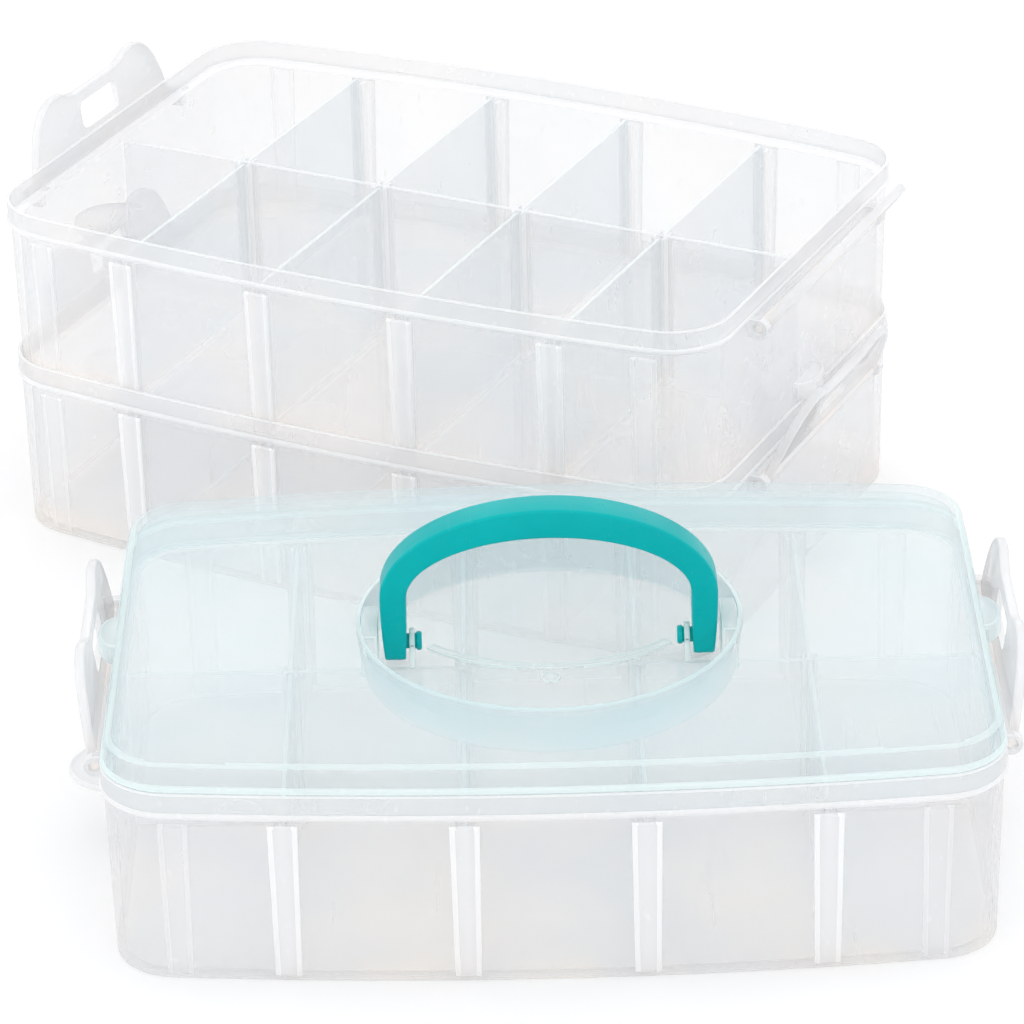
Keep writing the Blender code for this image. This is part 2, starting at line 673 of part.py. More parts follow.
def build_handle_mesh():
    """Bail handle upright, pivot line along X through the origin."""
    inner_half = HANDLE_HALF_WIDTH - HANDLE_LEG_WIDTH
    top = HANDLE_TOP - PIVOT_HEIGHT
    inner_top = top - HANDLE_CROWN
    foot_depth = HANDLE_END_RADIUS - 0.0002
    ankle_depth = HANDLE_HALF_DEPTH - 0.0005
    rings = [handle_section((HANDLE_HALF_WIDTH, 0.0), (inner_half, 0.0), foot_depth),
             handle_section((HANDLE_HALF_WIDTH, HANDLE_ANKLE), (inner_half, HANDLE_ANKLE), ankle_depth)]
    for i in range(HANDLE_STATIONS + 1):
        angle = math.pi * i / HANDLE_STATIONS
        outer = arch_point(angle, HANDLE_HALF_WIDTH, top)
        inner = arch_point(angle, inner_half, inner_top)
        rings.append(handle_section(outer, inner, HANDLE_HALF_DEPTH))
    rings.append(handle_section((-HANDLE_HALF_WIDTH, HANDLE_ANKLE), (-inner_half, HANDLE_ANKLE),
                                ankle_depth))
    rings.append(handle_section((-HANDLE_HALF_WIDTH, 0.0), (-inner_half, 0.0), foot_depth))
    bm = bmesh.new()
    add_loft(bm, rings)
    handle = mesh_object("handle_mould", bm)
    bm = bmesh.new()
    for sign in (-1.0, 1.0):
        add_rod(bm, Vector((sign * inner_half, 0.0, 0.0)), Vector((sign * HANDLE_HALF_WIDTH, 0.0, 0.0)),
                HANDLE_END_RADIUS, 16, "X")
    combine(handle, mesh_object("leg_ends", bm), "UNION")
    bm = bmesh.new()
    for sign in (-1.0, 1.0):
        add_rod(bm, Vector((sign * (PIN_HEAD_OUTER_X - 0.0004), 0.0, 0.0)),
                Vector((sign * (inner_half + 0.0010), 0.0, 0.0)), PIN_RADIUS, 12, "X")
    combine(handle, mesh_object("pins", bm), "UNION")
    bm = bmesh.new()
    for sign in (-1.0, 1.0):
        add_rod(bm, Vector((sign * PIN_HEAD_INNER_X, 0.0, 0.0)),
                Vector((sign * PIN_HEAD_OUTER_X, 0.0, 0.0)), PIN_HEAD_RADIUS, 14, "X")
    combine(handle, mesh_object("pin_heads", bm), "UNION")
    tidy(handle)
    shade_round(handle, 40.0)
    return handle


# ---------------------------------------------------------------- placing the pieces
def place(source, name, local, origin, stack, material):
    """Copy a moulding into a stack; the mesh is kept in world axes about its own origin."""
    mesh = source.data.copy()
    mesh.name = name
    mesh.transform(stack.to_3x3().to_4x4() @ local.to_3x3().to_4x4())
    offset = stack @ local @ Vector((0.0, 0.0, 0.0)) - stack @ origin
    mesh.transform(Matrix.Translation(offset))
    mesh.materials.clear()
    mesh.materials.append(material)
    obj = bpy.data.objects.new(name, mesh)
    obj.location = stack @ origin
    bpy.context.scene.collection.objects.link(obj)
    return obj


def tray_frame(stack, level):
    """Frame of the tray at a level of a stack."""
    return stack @ Matrix.Translation(Vector((0.0, 0.0, level * STACK_STEP)))


def place_tray(tray, name, frame, colour):
    """Tray moulding."""
    material = plastic(name + "_plastic", colour, 0.12, 0.85)
    place(tray, name, Matrix.Identity(4), Vector((0.0, 0.0, 0.0)), frame, material)


def place_latches(latch, tag, frame, openings, colour):
    """Left and right latches of one tray, each standing open by its own angle."""
    for side, opening in zip(("left", "right"), openings):
        name = "latch_" + tag + "_" + side
        turn = Matrix.Rotation(math.pi, 4, "Z") if side == "left" else Matrix.Identity(4)
        axis = Vector((-LATCH_AXIS_X if side == "left" else LATCH_AXIS_X, 0.0, LATCH_AXIS_Z))
        local = Matrix.Translation(axis) @ turn @ Matrix.Rotation(math.radians(opening), 4, "Y")
        material = plastic(name + "_plastic", colour, 0.14, 0.85)
        place(latch, name, local, axis, frame, material)


def place_dividers(tag, frame, colour):
    """Eight loose cross walls of one tray."""
    for row, turn in (("front", Matrix.Rotation(math.pi, 4, "Z")), ("back", Matrix.Identity(4))):
        for index, edge in enumerate(COLUMN_EDGES):
            x = edge * COLUMN_PITCH
            source = divider_mesh(x)
            name = "divider_" + tag + "_" + row + "_" + str(index + 1)
            origin = Vector((x, 0.0, FLOOR_THICKNESS))
            local = Matrix.Translation(Vector((x, 0.0, 0.0))) @ turn
            material = plastic(name + "_plastic", colour, 0.10, 0.85)
            place(source, name, local, origin, frame, material)
            bpy.data.objects.remove(source, do_unlink=True)


def centre_on_floor():
    """Bring the middle of the whole footprint to the origin and the bases to zero height."""
    low = Vector((1.0e9, 1.0e9, 1.0e9))
    high = Vector((-1.0e9, -1.0e9, -1.0e9))
    for obj in bpy.context.scene.objects:
        for vertex in obj.data.vertices:
            point = obj.location + vertex.co
            for k in range(3):
                low[k] = min(low[k], point[k])
                high[k] = max(high[k], point[k])
    shift = Vector((-0.5 * (low.x + high.x), -0.5 * (low.y + high.y), -low.z))
    for obj in bpy.context.scene.objects:
        obj.location = obj.location + shift
    return shift


def build():
    """Build every mould once, then stand the pieces in place."""
    clear_scene()
    clear = (0.80, 0.82, 0.88)
    divider_tint = (0.78, 0.86, 0.92)
    aqua = (0.66, 0.88, 0.87)
    teal = (0.0, 0.36, 0.37)
    tray = build_tray_mesh()
    latch = build_latch_mesh()
    lid = build_lid_mesh()
    handle = build_handle_mesh()
    front = Matrix.Identity(4)
    turn = Matrix.Rotation(math.radians(REAR_STACK_TURN), 4, "Z")
    rear = Matrix.Translation(Vector((REAR_STACK_X, REAR_STACK_Y, 0.0))) @ turn
    bottom = tray_frame(rear, 0)
    middle = tray_frame(rear, 1)
    place_tray(tray, "bottom_tray", bottom, clear)
    place_tray(tray, "middle_tray", middle, clear)
    place_tray(tray, "top_tray", front, clear)
    place_latches(latch, "bottom", bottom, (LATCH_AJAR, LATCH_BOTTOM_RIGHT_OPEN), clear)
    place_latches(latch, "middle", middle, (LATCH_AJAR, LATCH_MIDDLE_RIGHT_OPEN), clear)
    place_latches(latch, "top", front, (LATCH_AJAR, LATCH_AJAR), clear)
    place_dividers("bottom", bottom, divider_tint)
    place_dividers("middle", middle, divider_tint)
    place_dividers("top", front, divider_tint)
    identity = Matrix.Identity(4)
    place(lid, "lid", identity, Vector((0.0, 0.0, 0.0)), front, plastic("lid_plastic", aqua, 0.10, 0.85))
    pivot = Vector((0.0, 0.0, PIVOT_HEIGHT))
    place(handle, "handle", Matrix.Translation(pivot), pivot, front,
          plastic("handle_plastic", teal, 0.35, 0.0))
    for mould in (tray, latch, lid, handle):
        bpy.data.objects.remove(mould, do_unlink=True)
    centre_on_floor()


build()
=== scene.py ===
"""Looks for the clear parts organizer: two stacks of cloudy clear trays, an aqua lid and a teal handle.

Every moulding is built once in its own frame, in metres, and copied to the places the joints give.
Faces carry three numbers for the materials: how white the plastic looks there, as on rims and
ribs, partly the milkiness of thick plastic and partly a painted highlight along edges; aqua, how
much of the blue-green tint shows; and dense, how much it hides what is behind it.
"""
import json
import math

import bmesh
import bpy
from mathutils import Matrix, Vector

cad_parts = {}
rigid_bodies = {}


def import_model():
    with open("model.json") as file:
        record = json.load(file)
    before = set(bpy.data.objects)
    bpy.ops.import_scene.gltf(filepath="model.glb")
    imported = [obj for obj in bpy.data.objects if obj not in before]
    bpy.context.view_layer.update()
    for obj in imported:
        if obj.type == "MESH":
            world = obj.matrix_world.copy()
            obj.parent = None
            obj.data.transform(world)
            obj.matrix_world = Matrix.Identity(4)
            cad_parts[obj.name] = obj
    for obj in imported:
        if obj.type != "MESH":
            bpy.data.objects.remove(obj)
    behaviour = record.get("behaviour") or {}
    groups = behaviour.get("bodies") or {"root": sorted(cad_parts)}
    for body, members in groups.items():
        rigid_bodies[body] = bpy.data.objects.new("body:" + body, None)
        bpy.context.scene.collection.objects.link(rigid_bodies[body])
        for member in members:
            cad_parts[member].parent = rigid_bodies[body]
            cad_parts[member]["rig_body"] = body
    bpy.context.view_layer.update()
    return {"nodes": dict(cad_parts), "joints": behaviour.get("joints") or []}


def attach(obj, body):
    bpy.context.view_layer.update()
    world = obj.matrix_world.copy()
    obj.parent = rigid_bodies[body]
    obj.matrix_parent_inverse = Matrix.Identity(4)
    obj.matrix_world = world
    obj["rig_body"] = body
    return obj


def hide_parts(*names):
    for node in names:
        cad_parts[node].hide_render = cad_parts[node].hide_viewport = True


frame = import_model()
JOINTS = {joint["name"]: joint for joint in frame["joints"]}

# ---------------------------------------------------------------- the trays' plan and heights, as packed
TRAY_LENGTH = 0.2400
TRAY_WIDTH = 0.1660
LONG_SIDE_SAG = 0.0070
CORNER_RADIUS = 0.0175
ARC_SEGMENTS = 24
CORNER_SEGMENTS = 10
CORNER_WEIGHT = 0.72
FLOOR_THICKNESS = 0.0016
LEDGE_HEIGHT = 0.0504
RIM_HEIGHT = 0.0573
LID_TOP = 0.0653
BASE_INSET = 0.0021
WALL_TOP_INSET = 0.0013
BEAD_RISE = 0.0012
BEAD_INSET = 0.0001
BAND_OUTER_INSET = 0.0005
BAND_INNER_INSET = 0.0014
INNER_WALL_INSET = 0.0040
COLUMN_PITCH = 0.0475
COLUMN_EDGES = (-1.5, -0.5, 0.5, 1.5)
CENTRE_WALL_THICKNESS = 0.0016
CENTRE_WALL_TOP = 0.0501
GUIDE_THICKNESS = 0.0012
GUIDE_DEPTH = 0.0026
GUIDE_TOP = 0.0485
SLIDE_SLOT = 0.00105
PILASTER_TOP_WIDTH = 0.0080
PILASTER_BASE_WIDTH = 0.0070
PILASTER_RISE = 0.0007
PILASTER_BASE_RISE = 0.0003
PILASTER_ROOT = 0.0007
PILASTER_TOP = 0.0480
PILASTER_BASE = 0.0016
PILASTER_EDGE = 0.0014
END_PILASTER_X = 0.1000

# ---------------------------------------------------------------- end walls
CATCH_HALF_WIDTH = 0.0090
CATCH_REACH = 0.1234
CATCH_BOTTOM = 0.0074
CATCH_TOP = 0.0132
CATCH_ROOT = 0.1165
TAB_HALF_WIDTH = 0.0134
TAB_REACH = 0.1336
TAB_ROOT = 0.1170
TAB_BOTTOM = 0.0203
TAB_TOP = 0.0221
LUG_INNER_Y = 0.0426
LUG_OUTER_Y = 0.0456
LUG_RADIUS = 0.0031
LUG_HOLE_RADIUS = 0.0018
LUG_ROOT = 0.1170

# ---------------------------------------------------------------- latches
LATCH_AXIS_X = 0.1222
LATCH_AXIS_Z = 0.0476
LATCH_BARREL_RADIUS = 0.0020
LATCH_HALF_WIDTH = 0.0410
LATCH_STUB_RADIUS = 0.0014
LATCH_STUB_END = 0.0450
LATCH_INNER_FACE = -0.0006
LATCH_OUTER_FACE = 0.0013
LATCH_BORDER_FACE = 0.0021
LATCH_BORDER_WIDTH = 0.0022
LATCH_WINDOW_HALF_WIDTH = 0.0110
LATCH_WINDOW_BOTTOM = 0.0089
LATCH_WINDOW_TOP = 0.0179
LATCH_WINDOW_RADIUS = 0.0026
LATCH_DIP = 0.0217
LATCH_HUMP = 0.0247

# ---------------------------------------------------------------- lid, bowl and handle
LID_SKIRT_INSET = 0.0023
LID_SKIRT_LOW = 0.0507
LID_INNER_INSET = 0.0039
LID_FLANGE_INSET = 0.0007
BOWL_RADIUS = 0.0515
BOWL_FLOOR_RADIUS = 0.0499
BOWL_FLOOR = 0.0528
BOWL_WALL = 0.0014
BOWL_FLOOR_THICKNESS = 0.0014
BOWL_SEGMENTS = 112
BOWL_RING_WIDTH = 0.0012
BOWL_RING_RISE = 0.0005
PIVOT_HEIGHT = 0.0587
BRACKET_INNER_X = 0.0368
BRACKET_OUTER_X = 0.0383
BRACKET_HALF_WIDTH = 0.0036
SIDE_BLOCK_INNER_X = 0.0468
SIDE_BLOCK_OUTER_X = 0.0514
SIDE_BLOCK_HALF_WIDTH = 0.0090
BRACKET_HOLE_RADIUS = 0.0024
FLOOR_ARC_RADIUS = 0.0480
FLOOR_ARC_CENTRE_Y = 0.0415
FLOOR_ARC_HALF_ANGLE = 43.0
FLOOR_ARC_WIDTH = 0.0028
FLOOR_ARC_RISE = 0.0008
GATE_RADIUS = 0.0026
GATE_RISE = 0.0006
GATE_Y = -0.0125
HANDLE_HALF_WIDTH = 0.0460
HANDLE_LEG_WIDTH = 0.0072
HANDLE_FOOT_HALF_WIDTH = 0.0449
HANDLE_FOOT_WIDTH = 0.0056
HANDLE_HALF_DEPTH = 0.0050
HANDLE_LEG_STRAIGHT = 0.0150
HANDLE_TOP = 0.1001
HANDLE_CROWN = 0.0085
HANDLE_END_DROP = 0.0040
HANDLE_END_RADIUS = 0.0020
HANDLE_EDGE = 0.0009
HANDLE_STATIONS = 72
PIN_RADIUS = 0.0021
PIN_HEAD_RADIUS = 0.0026
PIN_HEAD_OUTER_X = 0.0365
PIN_HEAD_INNER_X = 0.0349

OVERLAP = 0.0006
ROOT_OVERLAP = 0.0008
SOFT = 0.0003
FINE = 0.0002
CATCH_EDGE = 0.0011
TAB_EDGE = 0.0005
DIVIDER_EDGE = 0.0004
DIVIDER_ROUNDING = 0.0012
LATCH_ROUNDING = 0.0035
LATCH_EDGE = 0.0006
LATCH_CUT_FACES = (-0.0040, 0.0050)
LUG_BORE_REACH = 0.0025
BRACKET_BORE_REACH = 0.0022
NOSE_START = 0.0020
LUG_ARC_STEPS = 16
BRACKET_ARC_STEPS = 20
FLOOR_ARC_STEPS = 32
GATE_SEGMENTS = 28
WELD_DISTANCE = 0.000003
SMOOTH_LIMIT = math.radians(34.0)
HANDLE_SMOOTH_LIMIT = math.radians(40.0)
FLAT_COSINE = 0.985

# Whiteness (milkiness of thick plastic and painted highlight on edges), aqua and dense of each kind of
# surface.
CLEAR = (0.0, 0.0, 0.0)
RIM_PAINT = (0.80, 0.0, 0.70)
BAND_PAINT = (0.15, 0.0, 0.15)
BASE_EDGE_PAINT = (0.35, 0.0, 0.40)
CENTRE_WALL_EDGE_PAINT = (0.45, 1.0, 0.70)
CENTRE_WALL_RIB_PAINT = (0.90, 0.30, 0.60)
CENTRE_WALL_PAINT = (0.0, 0.35, 0.0)
GUIDE_PAINT = (0.92, 0.15, 0.60)
PILASTER_SIDE_PAINT = (1.0, 0.0, 0.95)
PILASTER_FACE_PAINT = (0.88, 0.10, 0.50)
END_PILASTER_SIDE_PAINT = (0.55, 0.0, 0.40)
END_PILASTER_FACE_PAINT = (0.35, 0.0, 0.15)
END_DETAIL_FACE_PAINT = (0.0, 0.0, 0.45)
END_DETAIL_EDGE_PAINT = (0.55, 0.0, 0.7)
BORE_PAINT = (0.5, 0.0, 0.5)
LATCH_WEB_PAINT = (0.0, 0.0, 0.12)
LATCH_BORDER_PAINT = (0.55, 0.0, 0.55)
LATCH_BARREL_PAINT = (0.35, 0.0, 0.45)
LATCH_STUB_PAINT = (0.4, 0.0, 0.5)
LATCH_WINDOW_PAINT = (0.8, 0.0, 0.7)
DIVIDER_FACE_PAINT = (0.0, 0.4, 0.0)
DIVIDER_EDGE_PAINT = (0.70, 0.7, 0.55)
LID_SHOULDER_PAINT = (0.70, 0.9, 0.45)
LID_FLANGE_PAINT = (0.85, 0.25, 0.7)
LID_SKIRT_PAINT = (0.35, 0.4, 0.3)
LID_PAINT = (0.0, 0.25, 0.0)
BOWL_RING_PAINT = (0.45, 1.0, 0.6)
BOWL_WALL_PAINT = (0.0, 1.0, 0.22)
BOWL_FLOOR_PAINT = (0.0, 0.15, 0.0)
BOWL_DETAIL_FACE_PAINT = (0.35, 0.2, 0.2)
BOWL_DETAIL_EDGE_PAINT = (1.0, 0.1, 0.8)
LID_CATCH_FACE_PAINT = (0.0, 0.1, 0.4)
LID_CATCH_EDGE_PAINT = (0.5, 0.1, 0.6)
BRACKET_BORE_PAINT = (0.7, 0.4, 0.5)
OPAQUE = (0.0, 0.0, 1.0)


# ---------------------------------------------------------------- stacks, from the latch hinges
def stack_frame(tray):
    """Frame of a tray: origin under its middle, X towards its right latch."""
    left = Vector(JOINTS["latch_" + tray + "_left_hinge"]["pos_m"])
    right = Vector(JOINTS["latch_" + tray + "_right_hinge"]["pos_m"])
    middle = (left + right) / 2
    along = right - left
    turn = math.atan2(along.y, along.x)
    return Matrix.Translation((middle.x, middle.y, middle.z - LATCH_AXIS_Z)) @ Matrix.Rotation(turn, 4, "Z")


FRAMES = {tray: stack_frame(tray) for tray in ("bottom", "middle", "top")}
FRONT = FRAMES["top"]

# ---------------------------------------------------------------- camera, lights and floor
CAMERA_OFFSET = Vector((-0.00942, -1.17588, 0.70417))
CAMERA_PITCH = math.radians(27.29)
CAMERA_ROLL = math.radians(-1.38)
CAMERA_LENS = 172.4
SENSOR_WIDTH = 36.0
FLOOR_HALF_SIZE = 12.0
FLOOR_COLOUR = (0.95, 0.95, 0.95, 1.0)
ROOM_STRENGTH = 0.94
HORIZON_COLOUR = (0.92, 0.93, 0.96, 1.0)
OVERHEAD_COLOUR = (1.0, 1.0, 1.0, 1.0)
OVERHEAD_START = 0.8

# Name, place, target, width, height and power of each soft box.
SOFT_BOXES = (
    ("softbox_top", (0.0, 0.3, 1.7), (0.0, 0.0, 0.0), 1.8, 1.4, 3.0),
    ("softbox_left", (-1.7, -0.3, 0.9), (0.0, 0.0, 0.05), 1.0, 1.2, 3.5),
    ("softbox_right", (1.7, 0.2, 0.8), (0.0, 0.0, 0.05), 0.8, 1.2, 2.5),
    ("softbox_front", (0.1, -2.0, 1.0), (0.0, 0.0, 0.05), 1.6, 1.0, 6.0),
    ("softbox_back", (0.2, 2.2, 0.9), (0.0, 0.0, 0.1), 1.8, 1.0, 4.0),
)


def make_camera():
    """Long lens looking down on the front stack."""
    data = bpy.data.cameras.new("camera")
    data.lens = CAMERA_LENS
    data.sensor_width = SENSOR_WIDTH
    data.clip_start = 0.05
    data.clip_end = 30.0
    camera = bpy.data.objects.new("camera", data)
    level = Matrix.Rotation(math.pi / 2 - CAMERA_PITCH, 4, "X")
    roll = Matrix.Rotation(CAMERA_ROLL, 4, "Z")
    camera.matrix_world = Matrix.Translation(FRONT.translation + CAMERA_OFFSET) @ level @ roll
    bpy.context.scene.collection.objects.link(camera)
    bpy.context.scene.camera = camera


def area_light(name, place, target, width, height, power):
    """Soft box."""
    data = bpy.data.lights.new(name, "AREA")
    data.shape = "RECTANGLE"
    data.size = width
    data.size_y = height
    data.energy = power
    light = bpy.data.objects.new(name, data)
    light.location = place
    light.rotation_mode = "QUATERNION"
    light.rotation_quaternion = (Vector(target) - Vector(place)).to_track_quat("-Z", "Y")
    bpy.context.scene.collection.objects.link(light)


def make_world():
    """Even white room, a little darker towards the horizon."""
    world = bpy.data.worlds.new("studio")
    bpy.context.scene.world = world
    world.use_nodes = True
    nodes = world.node_tree.nodes
    links = world.node_tree.links
    coords = nodes.new("ShaderNodeTexCoord")
    split = nodes.new("ShaderNodeSeparateXYZ")
    ramp = nodes.new("ShaderNodeValToRGB")
    links.new(coords.outputs["Generated"], split.inputs[0])
    links.new(split.outputs["Z"], ramp.inputs[0])
    ramp.color_ramp.elements[0].position = 0.0
    ramp.color_ramp.elements[0].color = HORIZON_COLOUR
    ramp.color_ramp.elements[1].position = OVERHEAD_START
    ramp.color_ramp.elements[1].color = OVERHEAD_COLOUR
    links.new(ramp.outputs["Color"], nodes["Background"].inputs["Color"])
    nodes["Background"].inputs["Strength"].default_value = ROOM_STRENGTH


def make_floor():
    """White paper sweep."""
    size = FLOOR_HALF_SIZE
    mesh = bpy.data.meshes.new("floor")
    corners = [(-size, -size, 0.0), (size, -size, 0.0), (size, size, 0.0), (-size, size, 0.0)]
    mesh.from_pydata(corners, [], [(0, 1, 2, 3)])
    floor = bpy.data.objects.new("floor", mesh)
    bpy.context.scene.collection.objects.link(floor)
    material = bpy.data.materials.new("floor_paper")
    material.use_nodes = True
    shader = material.node_tree.nodes["Principled BSDF"]
    shader.inputs["Base Color"].default_value = FLOOR_COLOUR
    shader.inputs["Roughness"].default_value = 0.9
    shader.inputs["Specular IOR Level"].default_value = 0.1
    mesh.materials.append(material)


def make_studio():
    """Bright even room with five soft boxes."""
    bpy.context.scene.view_settings.view_transform = "Standard"
    make_world()
    make_floor()
    for soft_box in SOFT_BOXES:
        area_light(*soft_box)


def set_bounces():
    """Enough bounces for light to pass through all the layers of clear plastic."""
    cycles = bpy.context.scene.cycles
    cycles.max_bounces = 4
    cycles.transmission_bounces = 2
    cycles.transparent_max_bounces = 64
    cycles.glossy_bounces = 2
    cycles.diffuse_bounces = 2


# ---------------------------------------------------------------- plastics
WHITE = (0.97, 0.975, 0.985)
GLOW_COLOUR = (1.0, 0.91, 0.83)
RIM_SHADE = 0.78
GLANCE_POWER = 3.0
GLANCE_COLOUR_SHARE = 0.55
GLANCE_VEIL_SHARE = 0.45
WARM_SHARE = 0.50
CLEAR_SCRATCH_SCALE = 420.0
CLEAR_SCRATCH_AMOUNT = 0.06
PLASTIC_IOR = 1.49
TEAL_DEEP = (0.0, 0.415, 0.425)
TEAL_LIGHT = (0.0, 0.460, 0.465)
TEAL_RUBBED = (0.25, 0.62, 0.60)
TEAL_SPECULAR = 0.12
TEAL_SCRATCH_SCALE = 900.0
TEAL_SCRATCH_AMOUNT = 0.05

# Name, wall, edge, cool tint and warm tint colours, haze of walls and of edges, and roughness; the edge
# colour is the white of rims and ribs, partly a painted highlight.
CLEAR_PLASTICS = {
    "tray": ("tray_clear", (0.810, 0.805, 0.815), WHITE, (0.785, 0.815, 0.840),
             (0.900, 0.850, 0.800), 0.22, 0.75, 0.10),
    "latch": ("latch_clear", (0.790, 0.790, 0.805), WHITE, (0.770, 0.790, 0.815),
              (0.830, 0.815, 0.800), 0.36, 0.78, 0.10),
    "divider": ("divider_clear", (0.800, 0.810, 0.830), (0.92, 0.97, 0.98), (0.740, 0.830, 0.870),
                (0.860, 0.830, 0.800), 0.20, 0.70, 0.10),
    "lid": ("lid_aqua", (0.715, 0.800, 0.820), (0.84, 0.97, 0.965), (0.615, 0.790, 0.825),
            (0.820, 0.820, 0.800), 0.20, 0.75, 0.08),
}


def node(tree, kind, **values):
    """New node with its named inputs set."""
    made = tree.nodes.new(kind)
    for name, value in values.items():
        made.inputs[name.replace("_", " ")].default_value = value
    return made


def math_node(tree, operation, first, second):
    """Math of two sockets or numbers, result kept from 0 to 1."""
    made = tree.nodes.new("ShaderNodeMath")
    made.operation = operation
    made.use_clamp = True
    for index, value in enumerate((first, second)):
        if isinstance(value, float):
            made.inputs[index].default_value = value
        else:
            tree.links.new(value, made.inputs[index])
    return made.outputs[0]


def mix_colour(tree, factor, first, second):
    """Blend of two colours."""
    made = tree.nodes.new("ShaderNodeMix")
    made.data_type = "RGBA"
    tree.links.new(factor, made.inputs["Factor"])
    for name, value in (("A", first), ("B", second)):
        socket = [s for s in made.inputs if s.name == name and s.type == "RGBA"][0]
        if isinstance(value, tuple):
            socket.default_value = (value[0], value[1], value[2], 1.0)
        else:
            tree.links.new(value, socket)
    return [s for s in made.outputs if s.type == "RGBA"][0]


def spread(tree, value, low, high):
    """Stretch a noise value over the range from low to high."""
    made = node(tree, "ShaderNodeMapRange", From_Min=0.32, From_Max=0.68, To_Min=low, To_Max=high)
    tree.links.new(value, made.inputs["Value"])
    return made.outputs[0]


def noise_channels(tree, coords, scale, detail):
    """Three unlike noises out of one texture."""
    made = node(tree, "ShaderNodeTexNoise", Scale=scale, Detail=detail, Roughness=0.55)
    tree.links.new(coords, made.inputs["Vector"])
    split = tree.nodes.new("ShaderNodeSeparateColor")
    tree.links.new(made.outputs["Color"], split.inputs[0])
    return split.outputs[0], split.outputs[1], split.outputs[2]


def scuffs(tree, coords, scale, amount):
    """Fine hairline scratches."""
    mapping = node(tree, "ShaderNodeMapping", Scale=(1.0, 0.04, 0.6), Rotation=(0.3, 0.2, 0.5))
    tree.links.new(coords, mapping.inputs["Vector"])
    lines = node(tree, "ShaderNodeTexNoise", Scale=scale, Detail=1.0, Roughness=0.6)
    tree.links.new(mapping.outputs[0], lines.inputs["Vector"])
    thin = node(tree, "ShaderNodeMapRange", From_Min=0.66, From_Max=0.74, To_Min=0.0, To_Max=amount)
    tree.links.new(lines.outputs[0], thin.inputs["Value"])
    return thin.outputs[0]


def add_bump(tree, coords, shader, scale, detail, strength, distance):
    """Moulding waves or grain; a second call goes on top of the first."""
    made = node(tree, "ShaderNodeTexNoise", Scale=scale, Detail=detail)
    tree.links.new(coords, made.inputs["Vector"])
    bump = node(tree, "ShaderNodeBump", Strength=strength, Distance=distance)
    tree.links.new(made.outputs[0], bump.inputs["Height"])
    if shader.inputs["Normal"].is_linked:
        tree.links.new(shader.inputs["Normal"].links[0].from_socket, bump.inputs["Normal"])
    tree.links.new(bump.outputs[0], shader.inputs["Normal"])


def attribute(tree, name):
    """Number stored on the faces."""
    made = tree.nodes.new("ShaderNodeAttribute")
    made.attribute_name = name
    return made.outputs["Fac"]


def clear_plastic(name, wall, edge, tint, warm, haze, edge_haze, rough):
    """Milky see-through plastic: thin veils on the walls, white and dense on rims and ribs, that white
    partly milkiness and partly a painted highlight.
    """
    material = bpy.data.materials.new(name)
    material.use_nodes = True
    tree = material.node_tree
    shader = tree.nodes["Principled BSDF"]
    coords = tree.nodes.new("ShaderNodeTexCoord").outputs["Object"]
    drift, glow, cloud = noise_channels(tree, coords, 20.0, 2.0)
    cool = mix_colour(tree, spread(tree, drift, 0.0, 0.7), wall, tint)
    warmth = math_node(tree, "MULTIPLY", spread(tree, glow, -0.6, 1.0), WARM_SHARE)
    body = mix_colour(tree, warmth, cool, warm)
    blue = mix_colour(tree, attribute(tree, "aqua"), body, tint)
    lines = scuffs(tree, coords, CLEAR_SCRATCH_SCALE, CLEAR_SCRATCH_AMOUNT)
    # Whiteness of each face: milkiness of thick plastic plus a painted highlight along rims, ribs and
    # edges, with fine scratches added.
    whiteness_highlight_scratches = math_node(tree, "ADD", attribute(tree, "milk_and_highlight"), lines)
    facing = node(tree, "ShaderNodeLayerWeight", Blend=0.5)
    glance = math_node(tree, "POWER", facing.outputs["Facing"], GLANCE_POWER)
    lit = mix_colour(tree, whiteness_highlight_scratches, blue, edge)
    rim = math_node(tree, "MULTIPLY", glance, GLANCE_COLOUR_SHARE)
    lit = mix_colour(tree, floor_glow(tree, coords, glow), lit, GLOW_COLOUR)
    shade = tuple(RIM_SHADE * channel for channel in wall)
    tree.links.new(mix_colour(tree, rim, lit, shade), shader.inputs["Base Color"])
    veil = node(tree, "ShaderNodeMapRange", To_Min=haze, To_Max=edge_haze)
    tree.links.new(math_node(tree, "ADD", attribute(tree, "dense"), lines), veil.inputs["Value"])
    skimming = math_node(tree, "MULTIPLY", glance, GLANCE_VEIL_SHARE)
    thick = math_node(tree, "ADD", veil.outputs[0], skimming)
    tree.links.new(math_node(tree, "ADD", thick, spread(tree, cloud, -0.02, 0.03)), shader.inputs["Alpha"])
    gloss = math_node(tree, "ADD", spread(tree, cloud, rough, rough + 0.10), lines)
    tree.links.new(gloss, shader.inputs["Roughness"])
    shader.inputs["IOR"].default_value = PLASTIC_IOR
    add_bump(tree, coords, shader, 70.0, 1.0, 0.16, 0.0006)
    return material


def floor_glow(tree, coords, glow):
    """Patches of warm light low down, where the plastic meets the table."""
    split = tree.nodes.new("ShaderNodeSeparateXYZ")
    tree.links.new(coords, split.inputs[0])
    low_down = node(tree, "ShaderNodeMapRange", From_Min=0.0100, From_Max=0.0015, To_Min=0.0, To_Max=1.0)
    tree.links.new(split.outputs["Z"], low_down.inputs["Value"])
    return math_node(tree, "MULTIPLY", low_down.outputs[0], spread(tree, glow, -0.5, 0.9))


